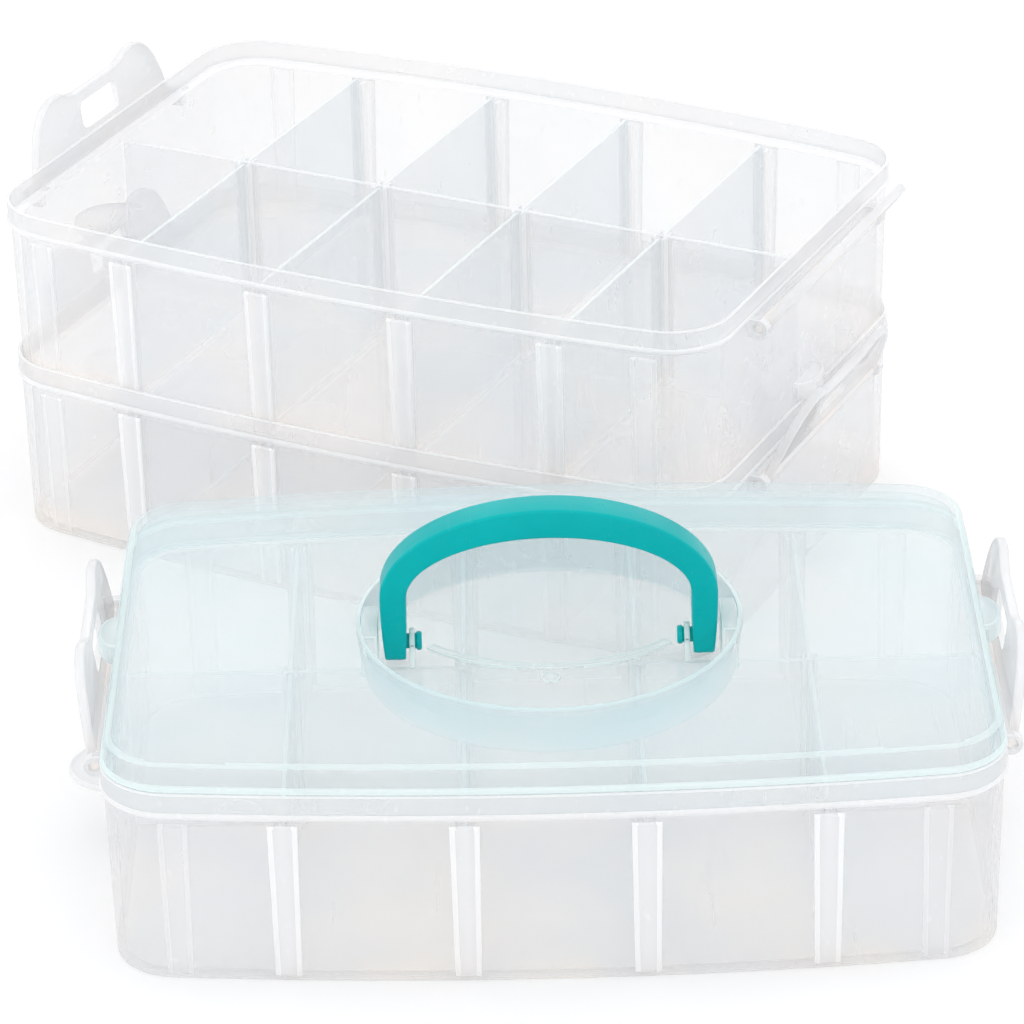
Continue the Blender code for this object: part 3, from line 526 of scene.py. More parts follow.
def teal_plastic(name):
    """Opaque satin plastic with a fine grain, faint flow marks and a few rubs."""
    material = bpy.data.materials.new(name)
    material.use_nodes = True
    tree = material.node_tree
    shader = tree.nodes["Principled BSDF"]
    coords = tree.nodes.new("ShaderNodeTexCoord").outputs["Object"]
    drift, _, cloud = noise_channels(tree, coords, 45.0, 3.0)
    body = mix_colour(tree, spread(tree, drift, 0.0, 1.0), TEAL_DEEP, TEAL_LIGHT)
    lines = scuffs(tree, coords, TEAL_SCRATCH_SCALE, TEAL_SCRATCH_AMOUNT)
    tree.links.new(mix_colour(tree, lines, body, TEAL_RUBBED), shader.inputs["Base Color"])
    gloss = math_node(tree, "ADD", spread(tree, cloud, 0.22, 0.34), lines)
    tree.links.new(gloss, shader.inputs["Roughness"])
    shader.inputs["IOR"].default_value = PLASTIC_IOR
    shader.inputs["Specular IOR Level"].default_value = TEAL_SPECULAR
    add_bump(tree, coords, shader, 110.0, 1.5, 0.12, 0.0006)
    add_bump(tree, coords, shader, 1700.0, 2.0, 0.22, 0.00008)
    return material


def make_materials():
    """One plastic for each kind of moulding."""
    materials = {kind: clear_plastic(*recipe) for kind, recipe in CLEAR_PLASTICS.items()}
    materials["handle"] = teal_plastic("handle_teal")
    return materials


# ---------------------------------------------------------------- mesh helpers
def even(value):
    """The same whiteness, aqua and dense on every face."""
    return lambda centre, normal: value


def slanted(normal):
    """True on the small faces that round off an edge."""
    return max(abs(normal.x), abs(normal.y), abs(normal.z)) < FLAT_COSINE


def white_highlit_edges(face, edge):
    """One paint on the flats and a whiter one on the rounded edges, that white partly a painted highlight.
    """
    return lambda centre, normal: edge if slanted(normal) else face


def mesh_object(name, bm, paint):
    """Turn a bmesh into an object; paint gives (whiteness, aqua, dense) for a face's centre and normal, the
    whiteness partly a painted highlight.
    """
    bmesh.ops.recalc_face_normals(bm, faces=bm.faces)
    milk_and_highlight = bm.faces.layers.float.new("milk_and_highlight")
    aqua = bm.faces.layers.float.new("aqua")
    dense = bm.faces.layers.float.new("dense")
    for face in bm.faces:
        face[milk_and_highlight], face[aqua], face[dense] = paint(face.calc_center_median(), face.normal)
    mesh = bpy.data.meshes.new(name)
    bm.to_mesh(mesh)
    bm.free()
    obj = bpy.data.objects.new(name, mesh)
    bpy.context.scene.collection.objects.link(obj)
    return obj


def add_loft(bm, rings):
    """Skin between equal rings of points and cap both ends."""
    loops = [[bm.verts.new(point) for point in ring] for ring in rings]
    count = len(loops[0])
    for lower, upper in zip(loops[:-1], loops[1:]):
        for i in range(count):
            j = (i + 1) % count
            bm.faces.new((lower[i], lower[j], upper[j], upper[i]))
    bm.faces.new(list(reversed(loops[0])))
    bm.faces.new(loops[-1])


def rounded(points, radius, steps, closed):
    """Polyline with its corners turned into short arcs."""
    count = len(points)
    result = []
    for i, point in enumerate(points):
        if not closed and i in (0, count - 1):
            result.append(tuple(point))
            continue
        here = Vector(point)
        before = Vector(points[i - 1]) - here
        after = Vector(points[(i + 1) % count]) - here
        reach = min(radius, 0.45 * before.length, 0.45 * after.length)
        start = here + before.normalized() * reach
        end = here + after.normalized() * reach
        for k in range(steps + 1):
            t = k / steps
            result.append(tuple(start * (1.0 - t) ** 2 + here * (2.0 * t * (1.0 - t)) + end * t ** 2))
    return result


def moved_in(outline, inset):
    """Counter-clockwise outline moved inwards."""
    moved = []
    count = len(outline)
    for i in range(count):
        here = Vector(outline[i])
        first = (here - Vector(outline[i - 1])).normalized()
        second = (Vector(outline[(i + 1) % count]) - here).normalized()
        normal = Vector((-first.y - second.y, first.x + second.x)).normalized()
        stretch = max(0.5, normal.dot(Vector((-first.y, first.x))))
        moved.append(tuple(here + normal * (inset / stretch)))
    return moved


def counter_clockwise(outline):
    """Outline turned so that its area is positive."""
    area = 0.0
    for (ax, ay), (bx, by) in zip(outline, outline[1:] + outline[:1]):
        area += ax * by - bx * ay
    return outline if area > 0.0 else list(reversed(outline))


def add_slab(bm, outline, low, high, edge, place):
    """Plate over an outline with softened upper and lower edges; place puts (u, v, height) in space."""
    outline = counter_clockwise(outline)
    levels = [(low, edge), (low + 0.3 * edge, 0.3 * edge), (low + edge, 0.0),
              (high - edge, 0.0), (high - 0.3 * edge, 0.3 * edge), (high, edge)]
    rings = []
    for height, inset in levels:
        loop = moved_in(outline, inset) if inset > 0.0 else outline
        rings.append([place(u, v, height) for u, v in loop])
    add_loft(bm, rings)


def upright(u, v, height):
    """Plan outline, heights along Z."""
    return Vector((u, v, height))


def add_round(bm, profile, segments):
    """Solid of revolution about Z from (radius, height) pairs."""
    rings = []
    for radius, height in profile:
        turns = [2.0 * math.pi * i / segments for i in range(segments)]
        rings.append([Vector((radius * math.cos(a), radius * math.sin(a), height)) for a in turns])
    add_loft(bm, rings)


def add_rod(bm, centre, axis, low, high, radius, edge, segments):
    """Round rod along X or Y with softened ends."""
    rings = []
    levels = ((low, radius - edge), (low + edge, radius), (high - edge, radius), (high, radius - edge))
    for along, size in levels:
        ring = []
        for i in range(segments):
            angle = 2.0 * math.pi * (i + 0.5) / segments
            a = size * math.cos(angle)
            b = size * math.sin(angle)
            offset = Vector((along, a, b)) if axis == "X" else Vector((a, along, b))
            ring.append(centre + offset)
        rings.append(ring)
    add_loft(bm, rings)


def combine(base, other, operation):
    """Exact boolean; the second object is used up."""
    modifier = base.modifiers.new("boolean", "BOOLEAN")
    modifier.operation = operation
    modifier.solver = "EXACT"
    modifier.object = other
    graph = bpy.context.evaluated_depsgraph_get()
    graph.update()
    mesh = bpy.data.meshes.new_from_object(base.evaluated_get(graph))
    base.modifiers.clear()
    base.data = mesh
    bpy.data.objects.remove(other, do_unlink=True)


def tidy(obj, limit):
    """Weld boolean seams, face outwards, and smooth all but the true edges."""
    bm = bmesh.new()
    bm.from_mesh(obj.data)
    bmesh.ops.remove_doubles(bm, verts=bm.verts, dist=WELD_DISTANCE)
    bmesh.ops.dissolve_degenerate(bm, edges=bm.edges, dist=WELD_DISTANCE)
    bmesh.ops.recalc_face_normals(bm, faces=bm.faces)
    for face in bm.faces:
        face.smooth = True
    for edge in bm.edges:
        if len(edge.link_faces) == 2:
            edge.smooth = edge.calc_face_angle(0.0) < limit
    bm.to_mesh(obj.data)
    bm.free()


# ---------------------------------------------------------------- plan outline
def corner_points(start, end, control):
    """Rounded corner between two sides, ends left out."""
    points = []
    for i in range(1, CORNER_SEGMENTS):
        t = i / CORNER_SEGMENTS
        a = (1.0 - t) ** 2
        b = 2.0 * CORNER_WEIGHT * t * (1.0 - t)
        c = t * t
        total = a + b + c
        points.append(((a * start[0] + b * control[0] + c * end[0]) / total,
                       (a * start[1] + b * control[1] + c * end[1]) / total))
    return points


def plan_outline(inset):
    """Bowed rounded rectangle, counter-clockwise, moved inwards by the inset."""
    half_length = 0.5 * TRAY_LENGTH - inset
    half_width = 0.5 * TRAY_WIDTH - inset
    radius = CORNER_RADIUS - inset
    reach = half_length - radius
    front = []
    for i in range(ARC_SEGMENTS + 1):
        x = reach * (2.0 * i / ARC_SEGMENTS - 1.0)
        front.append((x, LONG_SIDE_SAG * (x / half_length) ** 2 - half_width))
    slope = 2.0 * LONG_SIDE_SAG * reach / half_length ** 2
    control_y = front[-1][1] + slope * radius
    side_y = control_y + radius
    right = [(half_length, side_y), (half_length, -side_y)]
    half = list(front)
    half += corner_points(front[-1], right[0], (half_length, control_y))
    half += right
    half += corner_points(right[1], (-front[0][0], -front[0][1]), (half_length, -control_y))
    return half + [(-x, -y) for x, y in half]


def wall_y(x, inset):
    """Distance of the long wall from the middle line at a place along it."""
    half_length = 0.5 * TRAY_LENGTH - inset
    return 0.5 * TRAY_WIDTH - inset - LONG_SIDE_SAG * (x / half_length) ** 2


def ring(inset, height):
    """Plan outline at a height."""
    return [Vector((x, y, height)) for x, y in plan_outline(inset)]


# ---------------------------------------------------------------- tray
def tray_paint(centre, normal):
    """Rims, ledge and base edge are white; the walls are thin veils."""
    if centre.z > LEDGE_HEIGHT - 0.0010:
        on_band = normal.z < 0.3 and LEDGE_HEIGHT + BEAD_RISE < centre.z < RIM_HEIGHT - 0.0008
        return BAND_PAINT if on_band else RIM_PAINT
    if centre.z < 0.0012 and abs(normal.z) < 0.9:
        return BASE_EDGE_PAINT
    return CLEAR


def tray_shell():
    """Pan with a bead, an upright band and the inner ledge the next piece sits on."""
    outside = rounded([
        (BASE_INSET + 0.0030, 0.0),
        (BASE_INSET, 0.0),
        (WALL_TOP_INSET, LEDGE_HEIGHT - 0.0007),
        (BEAD_INSET, LEDGE_HEIGHT - 0.0001),
        (BEAD_INSET, LEDGE_HEIGHT + BEAD_RISE - 0.0003),
        (BAND_OUTER_INSET, LEDGE_HEIGHT + BEAD_RISE),
        (BAND_OUTER_INSET, RIM_HEIGHT),
        (BAND_INNER_INSET, RIM_HEIGHT),
        (BAND_INNER_INSET, LEDGE_HEIGHT),
        (INNER_WALL_INSET, LEDGE_HEIGHT),
        (INNER_WALL_INSET, FLOOR_THICKNESS),
        (INNER_WALL_INSET + 0.0040, FLOOR_THICKNESS),
    ], 0.0008, 4, False)
    bm = bmesh.new()
    add_loft(bm, [ring(inset, height) for inset, height in outside])
    return mesh_object("tray_shell", bm, tray_paint)


def centre_wall_outline():
    """Long middle wall with a pair of guide ribs on both faces at each divider."""
    half = 0.5 * CENTRE_WALL_THICKNESS
    end = 0.5 * TRAY_LENGTH - INNER_WALL_INSET + ROOT_OVERLAP
    side = [(-end, -half)]
    for edge in COLUMN_EDGES:
        x = edge * COLUMN_PITCH
        for low in (x - SLIDE_SLOT - GUIDE_THICKNESS, x + SLIDE_SLOT):
            high = low + GUIDE_THICKNESS
            side += [(low, -half), (low, -half - GUIDE_DEPTH), (high, -half - GUIDE_DEPTH), (high, -half)]
    side.append((end, -half))
    return rounded(side + [(-x, -y) for x, y in side], SOFT, 2, True)


def centre_wall_paint(centre, normal):
    """Aqua top edge, white guide ribs, thin wall."""
    if centre.z > CENTRE_WALL_TOP - 0.0006:
        return CENTRE_WALL_EDGE_PAINT
    if abs(centre.y) > 0.5 * CENTRE_WALL_THICKNESS + 0.0001:
        return CENTRE_WALL_RIB_PAINT
    return CENTRE_WALL_PAINT


def wall_guides(bm):
    """Guide ribs on the insides of the long walls."""
    for edge in COLUMN_EDGES:
        x = edge * COLUMN_PITCH
        for side in (-1.0, 1.0):
            for low in (x - SLIDE_SLOT - GUIDE_THICKNESS, x + SLIDE_SLOT):
                high = low + GUIDE_THICKNESS
                root = side * (wall_y(x, INNER_WALL_INSET) + ROOT_OVERLAP)
                tip = side * (wall_y(x, INNER_WALL_INSET) - GUIDE_DEPTH)
                outline = rounded([(low, root), (high, root), (high, tip), (low, tip)], SOFT, 2, True)
                add_slab(bm, outline, FLOOR_THICKNESS - OVERLAP, GUIDE_TOP, SOFT, upright)


def pilaster_loop(x, side, height, share):
    """Section of one pilaster at a height, with room for its white edges."""
    climb = (height - PILASTER_BASE) / (PILASTER_TOP - PILASTER_BASE)
    inset = BASE_INSET + (WALL_TOP_INSET - BASE_INSET) * climb
    width = PILASTER_BASE_WIDTH + (PILASTER_TOP_WIDTH - PILASTER_BASE_WIDTH) * climb
    rise = share * (PILASTER_BASE_RISE + (PILASTER_RISE - PILASTER_BASE_RISE) * climb)
    places = [-0.5 * width, -0.5 * width, PILASTER_EDGE - 0.5 * width,
              0.5 * width - PILASTER_EDGE, 0.5 * width, 0.5 * width]
    lifts = [-PILASTER_ROOT, rise, rise, rise, rise, -PILASTER_ROOT]
    loop = [(x + dx, wall_y(x + dx, inset) + lift) for dx, lift in zip(places, lifts)]
    return [Vector((px, side * py, height)) for px, py in rounded(loop, SOFT, 2, False)]


def pilasters(bm):
    """Low upright ribs on the outsides of the long walls."""
    for x in pilaster_places():
        for side in (-1.0, 1.0):
            levels = ((PILASTER_BASE, 0.2), (PILASTER_BASE + 0.0005, 1.0),
                      (PILASTER_TOP - 0.0006, 1.0), (PILASTER_TOP, 0.3))
            add_loft(bm, [pilaster_loop(x, side, height, share) for height, share in levels])


def pilaster_places():
    """Where the pilasters stand along a long wall."""
    return [edge * COLUMN_PITCH for edge in COLUMN_EDGES] + [-END_PILASTER_X, END_PILASTER_X]


def pilaster_paint(centre, normal):
    """White sides and a clearer middle; the two at the ends are fainter."""
    nearest = min(abs(centre.x - x) for x in pilaster_places())
    at_side = nearest > 0.5 * PILASTER_BASE_WIDTH - 0.9 * PILASTER_EDGE
    if abs(centre.x) > END_PILASTER_X - PILASTER_TOP_WIDTH:
        return END_PILASTER_SIDE_PAINT if at_side else END_PILASTER_FACE_PAINT
    return PILASTER_SIDE_PAINT if at_side else PILASTER_FACE_PAINT


def nose_outline(root, reach, half_width, sign, count):
    """Half-oval sticking out of an end wall."""
    points = [(sign * root, -half_width)]
    start = root + NOSE_START
    for i in range(count + 1):
        angle = math.pi * (i / count - 0.5)
        points.append((sign * (start + (reach - start) * math.cos(angle)), half_width * math.sin(angle)))
    points.append((sign * root, half_width))
    return points


def catches(bm, base):
    """Blunt catches the latch windows drop over, one on each end."""
    for sign in (-1.0, 1.0):
        outline = nose_outline(CATCH_ROOT, CATCH_REACH, CATCH_HALF_WIDTH, sign, 18)
        add_slab(bm, outline, base + CATCH_BOTTOM, base + CATCH_TOP, CATCH_EDGE, upright)


def finger_tab(bm):
    """Half-round tab on the left end."""
    outline = nose_outline(TAB_ROOT, TAB_REACH, TAB_HALF_WIDTH, -1.0, 32)
    add_slab(bm, outline, TAB_BOTTOM, TAB_TOP, TAB_EDGE, upright)


def hinge_lugs(bm):
    """Round-nosed ears that carry the latch stubs."""
    for sign in (-1.0, 1.0):
        for side in (-1.0, 1.0):
            profile = [(LUG_ROOT, LATCH_AXIS_Z - LUG_RADIUS)]
            for i in range(LUG_ARC_STEPS + 1):
                angle = math.pi * (i / LUG_ARC_STEPS - 0.5)
                profile.append((LATCH_AXIS_X + LUG_RADIUS * math.cos(angle),
                                LATCH_AXIS_Z + LUG_RADIUS * math.sin(angle)))
            profile.append((LUG_ROOT, LATCH_AXIS_Z + LUG_RADIUS))
            add_slab(bm, profile, LUG_INNER_Y, LUG_OUTER_Y, SOFT,
                     lambda u, v, height, sx=sign, sy=side: Vector((sx * u, sy * height, v)))


def hinge_holes(bm):
    """Bores for the latch stubs."""
    for sign in (-1.0, 1.0):
        for side in (-1.0, 1.0):
            middle = Vector((sign * LATCH_AXIS_X, side * 0.5 * (LUG_INNER_Y + LUG_OUTER_Y), LATCH_AXIS_Z))
            add_rod(bm, middle, "Y", -LUG_BORE_REACH, LUG_BORE_REACH, LUG_HOLE_RADIUS, 0.0, 20)


def build_tray():
    """One tray moulding in its own frame."""
    tray = tray_shell()
    bm = bmesh.new()
    add_slab(bm, centre_wall_outline(), FLOOR_THICKNESS - OVERLAP, CENTRE_WALL_TOP, SOFT, upright)
    combine(tray, mesh_object("centre_wall", bm, centre_wall_paint), "UNION")
    bm = bmesh.new()
    wall_guides(bm)
    combine(tray, mesh_object("wall_guides", bm, even(GUIDE_PAINT)), "UNION")
    bm = bmesh.new()
    pilasters(bm)
    combine(tray, mesh_object("pilasters", bm, pilaster_paint), "UNION")
    bm = bmesh.new()
    catches(bm, 0.0)
    finger_tab(bm)
    hinge_lugs(bm)
    paint = white_highlit_edges(END_DETAIL_FACE_PAINT, END_DETAIL_EDGE_PAINT)
    combine(tray, mesh_object("end_details", bm, paint), "UNION")
    bm = bmesh.new()
    hinge_holes(bm)
    combine(tray, mesh_object("hinge_bores", bm, even(BORE_PAINT)), "DIFFERENCE")
    tidy(tray, SMOOTH_LIMIT)
    return tray


# ---------------------------------------------------------------- latch
def latch_outline():
    """Wide plate with two humps and a shallow dip between them."""
    half = [(0.0, LATCH_DIP), (0.0120, LATCH_DIP), (0.0160, LATCH_DIP + 0.0010),
            (0.0200, LATCH_HUMP - 0.0004), (0.0240, LATCH_HUMP), (0.0282, LATCH_HUMP - 0.0006),
            (0.0320, LATCH_HUMP - 0.0026), (0.0355, LATCH_HUMP - 0.0064), (0.0388, LATCH_HUMP - 0.0130),
            (LATCH_HALF_WIDTH, LATCH_HUMP - 0.0210), (LATCH_HALF_WIDTH, 0.0)]
    right = list(reversed(half))
    left = [(-y, z) for y, z in half[1:]]
    return counter_clockwise(rounded(right + left, LATCH_ROUNDING, 4, True))


def latch_paint(centre, normal):
    """The border and all edges are whiter than the web."""
    on_web = abs(normal.x) > 0.9 and centre.x < LATCH_OUTER_FACE + 0.0002
    return LATCH_WEB_PAINT if on_web else LATCH_BORDER_PAINT


def latch_plate():
    """Plate with a raised border and softened edges."""
    outline = latch_outline()
    border = LATCH_BORDER_WIDTH
    levels = [(LATCH_INNER_FACE, LATCH_EDGE), (LATCH_INNER_FACE + FINE, FINE),
              (LATCH_INNER_FACE + LATCH_EDGE, 0.0), (LATCH_BORDER_FACE - LATCH_EDGE, 0.0),
              (LATCH_BORDER_FACE - FINE, FINE), (LATCH_BORDER_FACE, LATCH_EDGE),
              (LATCH_BORDER_FACE, border - 0.0005), (LATCH_BORDER_FACE - FINE, border - 0.0001),
              (LATCH_OUTER_FACE + FINE, border + FINE), (LATCH_OUTER_FACE, border + LATCH_EDGE)]
    rings = []
    for x, inset in levels:
        loop = moved_in(outline, inset) if inset > 0.0 else outline
        rings.append([Vector((x, y, z)) for y, z in loop])
    bm = bmesh.new()
    add_loft(bm, rings)
    return mesh_object("latch_mould", bm, latch_paint)


def build_latch():
    """Latch moulding: hinge along Y at the origin, plate up Z, outside along +X."""
    latch = latch_plate()
    origin = Vector((0.0, 0.0, 0.0))
    reach = LATCH_HALF_WIDTH + OVERLAP
    bm = bmesh.new()
    add_rod(bm, origin, "Y", -reach, reach, LATCH_BARREL_RADIUS, SOFT, 28)
    combine(latch, mesh_object("barrel", bm, even(LATCH_BARREL_PAINT)), "UNION")
    bm = bmesh.new()
    for side in (-1.0, 1.0):
        low = min(side * (LATCH_HALF_WIDTH - 0.0020), side * LATCH_STUB_END)
        high = max(side * (LATCH_HALF_WIDTH - 0.0020), side * LATCH_STUB_END)
        add_rod(bm, origin, "Y", low, high, LATCH_STUB_RADIUS, SOFT, 20)
    combine(latch, mesh_object("stubs", bm, even(LATCH_STUB_PAINT)), "UNION")
    bm = bmesh.new()
    wide = LATCH_WINDOW_HALF_WIDTH
    window = [(-wide, LATCH_WINDOW_BOTTOM), (wide, LATCH_WINDOW_BOTTOM),
              (wide, LATCH_WINDOW_TOP), (-wide, LATCH_WINDOW_TOP)]
    window = rounded(window, LATCH_WINDOW_RADIUS, 6, True)
    add_loft(bm, [[Vector((x, y, z)) for y, z in window] for x in LATCH_CUT_FACES])
    combine(latch, mesh_object("window", bm, even(LATCH_WINDOW_PAINT)), "DIFFERENCE")
    tidy(latch, SMOOTH_LIMIT)
    return latch


# ---------------------------------------------------------------- divider
def divider_paint(centre, normal):
    """White edges, faint blue faces."""
    return DIVIDER_FACE_PAINT if abs(normal.x) > 0.9 else DIVIDER_EDGE_PAINT


def divider_slab(low, high, half):
    """Loose cross wall between two corners of its own YZ outline."""
    near, bottom = low
    far, top = high
    outline = rounded([(near, bottom), (far, bottom), (far, top), (near, top)], DIVIDER_ROUNDING, 4, True)
    bm = bmesh.new()
    add_slab(bm, outline, -half, half, DIVIDER_EDGE, lambda u, v, height: Vector((height, u, v)))
    return mesh_object("divider_mould", bm, divider_paint)


# ---------------------------------------------------------------- lid
def lid_paint(centre, normal):
    """Bright aqua shoulder and flange, thin top; the white of the shoulder is partly a painted highlight
    along the lid's top edge.
    """
    radius = math.hypot(centre.x, centre.y)
    if radius > BOWL_RADIUS + 0.0080:
        if centre.z > LID_TOP - 0.0010 and normal.z < 0.97 and normal.z > 0.0:
            return LID_SHOULDER_PAINT
        if RIM_HEIGHT - 0.0002 < centre.z < RIM_HEIGHT + 0.0021:
            return LID_FLANGE_PAINT
        if centre.z < LID_SKIRT_LOW + 0.0005:
            return LID_SKIRT_PAINT
    return LID_PAINT


def lid_shell():
    """Shallow cap with a skirt that drops inside the band of the tray."""
    profile = rounded([
        (LID_INNER_INSET + 0.0042, LID_TOP - 0.0017),
        (LID_INNER_INSET + 0.0002, LID_TOP - 0.0017),
        (LID_INNER_INSET, LID_SKIRT_LOW),
        (LID_SKIRT_INSET, LID_SKIRT_LOW),
        (LID_SKIRT_INSET, RIM_HEIGHT + 0.0003),
        (LID_FLANGE_INSET, RIM_HEIGHT + 0.0003),
        (LID_FLANGE_INSET, RIM_HEIGHT + 0.0015),
        (0.0014, RIM_HEIGHT + 0.0018),
        (0.0019, LID_TOP),
        (0.0090, LID_TOP),
    ], 0.0028, 7, False)
    bm = bmesh.new()
    add_loft(bm, [ring(inset, height) for inset, height in profile])
    return mesh_object("lid_shell", bm, lid_paint)


def bowl_body(bm):
    """Outside of the round bowl hanging under the lid top."""
    profile = rounded([(BOWL_FLOOR_RADIUS - 0.0060, BOWL_FLOOR - BOWL_FLOOR_THICKNESS),
                       (BOWL_FLOOR_RADIUS + BOWL_WALL - 0.0002, BOWL_FLOOR - BOWL_FLOOR_THICKNESS),
                       (BOWL_RADIUS + BOWL_WALL, LID_TOP - 0.0006)], 0.0018, 5, False)
    add_round(bm, profile, BOWL_SEGMENTS)


def bowl_ring(bm):
    """Thin raised ring round the mouth of the bowl, overlapping the lid top."""
    inner = BOWL_RADIUS - 0.0002
    outer = BOWL_RADIUS + BOWL_RING_WIDTH
    profile = rounded([(outer + 0.0002, LID_TOP - 0.0008), (outer, LID_TOP + BOWL_RING_RISE),
                       (inner, LID_TOP + BOWL_RING_RISE)], SOFT, 4, False)
    add_round(bm, profile, BOWL_SEGMENTS)


def bowl_hollow(bm):
    """Space the folded handle lies in."""
    profile = rounded([(BOWL_FLOOR_RADIUS - 0.0060, BOWL_FLOOR),
                       (BOWL_FLOOR_RADIUS - 0.0001, BOWL_FLOOR),
                       (BOWL_RADIUS, LID_TOP - FINE),
                       (BOWL_RADIUS + FINE, LID_TOP + 0.0020)], 0.0015, 5, False)
    add_round(bm, profile, BOWL_SEGMENTS)


def floor_arc(bm):
    """Curved rib across the front of the bowl floor."""
    half_angle = math.radians(FLOOR_ARC_HALF_ANGLE)
    outer_arc = []
    inner_arc = []
    for i in range(FLOOR_ARC_STEPS + 1):
        angle = -0.5 * math.pi + half_angle * (2.0 * i / FLOOR_ARC_STEPS - 1.0)
        for arc, radius in ((outer_arc, FLOOR_ARC_RADIUS + 0.5 * FLOOR_ARC_WIDTH),
                            (inner_arc, FLOOR_ARC_RADIUS - 0.5 * FLOOR_ARC_WIDTH)):
            arc.append((radius * math.cos(angle), FLOOR_ARC_CENTRE_Y + radius * math.sin(angle)))
    outline = outer_arc + list(reversed(inner_arc))
    add_slab(bm, outline, BOWL_FLOOR - OVERLAP, BOWL_FLOOR + FLOOR_ARC_RISE, FINE, upright)


def brackets(bm):
    """Round-topped ears that carry the handle pins."""
    low = BOWL_FLOOR - OVERLAP
    profile = [(-BRACKET_HALF_WIDTH - 0.0012, low), (BRACKET_HALF_WIDTH + 0.0012, low)]
    for i in range(BRACKET_ARC_STEPS + 1):
        angle = math.pi * i / BRACKET_ARC_STEPS
        profile.append((BRACKET_HALF_WIDTH * math.cos(angle),
                        PIVOT_HEIGHT + BRACKET_HALF_WIDTH * math.sin(angle)))
    for sign in (-1.0, 1.0):
        add_slab(bm, profile, BRACKET_INNER_X, BRACKET_OUTER_X, SOFT,
                 lambda u, v, height, s=sign: Vector((s * height, u, v)))


def side_blocks(bm):
    """Clear blocks between the bowl wall and the outsides of the handle legs."""
    wide = SIDE_BLOCK_HALF_WIDTH
    for near, far in ((-SIDE_BLOCK_OUTER_X, -SIDE_BLOCK_INNER_X), (SIDE_BLOCK_INNER_X, SIDE_BLOCK_OUTER_X)):
        outline = rounded([(near, -wide), (far, -wide), (far, wide), (near, wide)], 0.0008, 3, True)
        add_slab(bm, outline, BOWL_FLOOR - OVERLAP, LID_TOP - SOFT, SOFT, upright)


def gate_button(bm):
    """Small round gate left by the moulding."""
    turns = [2.0 * math.pi * i / GATE_SEGMENTS for i in range(GATE_SEGMENTS)]
    outline = [(GATE_RADIUS * math.cos(a), GATE_Y + GATE_RADIUS * math.sin(a)) for a in turns]
    add_slab(bm, outline, BOWL_FLOOR - OVERLAP, BOWL_FLOOR + GATE_RISE, FINE, upright)


def build_lid():
    """Lid moulding in the frame of the tray it sits on."""
    lid = lid_shell()
    bm = bmesh.new()
    bowl_body(bm)
    combine(lid, mesh_object("bowl_body", bm, bowl_paint), "UNION")
    bm = bmesh.new()
    bowl_ring(bm)
    combine(lid, mesh_object("bowl_ring", bm, even(BOWL_RING_PAINT)), "UNION")
    bm = bmesh.new()
    bowl_hollow(bm)
    combine(lid, mesh_object("bowl_hollow", bm, bowl_paint), "DIFFERENCE")
    bm = bmesh.new()
    floor_arc(bm)
    brackets(bm)
    side_blocks(bm)
    gate_button(bm)
    paint = white_highlit_edges(BOWL_DETAIL_FACE_PAINT, BOWL_DETAIL_EDGE_PAINT)
    combine(lid, mesh_object("bowl_details", bm, paint), "UNION")
    bm = bmesh.new()
    catches(bm, LID_SKIRT_LOW)
    paint = white_highlit_edges(LID_CATCH_FACE_PAINT, LID_CATCH_EDGE_PAINT)
    combine(lid, mesh_object("lid_catches", bm, paint), "UNION")
    bm = bmesh.new()
    for sign in (-1.0, 1.0):
        middle = Vector((sign * 0.5 * (BRACKET_INNER_X + BRACKET_OUTER_X), 0.0, PIVOT_HEIGHT))
        add_rod(bm, middle, "X", -BRACKET_BORE_REACH, BRACKET_BORE_REACH, BRACKET_HOLE_RADIUS, 0.0, 24)
    combine(lid, mesh_object("bracket_bores", bm, even(BRACKET_BORE_PAINT)), "DIFFERENCE")
    tidy(lid, SMOOTH_LIMIT)
    return lid


def bowl_paint(centre, normal):
    """Bowl wall is aqua, its floor nearly clear."""
    return BOWL_WALL_PAINT if abs(normal.z) < 0.7 else BOWL_FLOOR_PAINT


# ---------------------------------------------------------------- handle
def arch_point(angle, half_width, height):
    """Point on the half-oval arch above the straight legs."""
    x = half_width * math.cos(angle)
    z = HANDLE_LEG_STRAIGHT + (height - HANDLE_LEG_STRAIGHT) * math.sin(angle)
    return x, z


def handle_section(outer, inner, half_depth):
    """Rounded box section between the outer and inner lines of the handle."""
    across = Vector((outer[0] - inner[0], 0.0, outer[1] - inner[1]))
    width = across.length
    direction = across.normalized()
    start = Vector((inner[0], 0.0, inner[1]))
    box = [(0.0, -half_depth), (width, -half_depth), (width, half_depth), (0.0, half_depth)]
    return [start + direction * u + Vector((0.0, v, 0.0)) for u, v in rounded(box, HANDLE_EDGE, 5, True)]


def leg_levels():
    """Heights of a leg with its depth there, from the rounded foot up."""
    levels = []
    for i in range(6):
        angle = 0.5 * math.pi * i / 5
        depth = HANDLE_HALF_DEPTH - HANDLE_END_RADIUS + HANDLE_END_RADIUS * math.sin(angle)
        height = -HANDLE_END_DROP + HANDLE_END_RADIUS * (1.0 - math.cos(angle))
        levels.append((height, depth))
    return levels + [(0.25 * k * HANDLE_LEG_STRAIGHT, HANDLE_HALF_DEPTH) for k in range(4)]


def leg_section(sign, height, depth):
    """Section of a leg, which narrows towards its foot."""
    share = (height + HANDLE_END_DROP) / (HANDLE_LEG_STRAIGHT + HANDLE_END_DROP)
    ease = share * (2.0 - share)
    outer = HANDLE_FOOT_HALF_WIDTH + (HANDLE_HALF_WIDTH - HANDLE_FOOT_HALF_WIDTH) * ease
    width = HANDLE_FOOT_WIDTH + (HANDLE_LEG_WIDTH - HANDLE_FOOT_WIDTH) * ease
    return handle_section((sign * outer, height), (sign * (outer - width), height), depth)


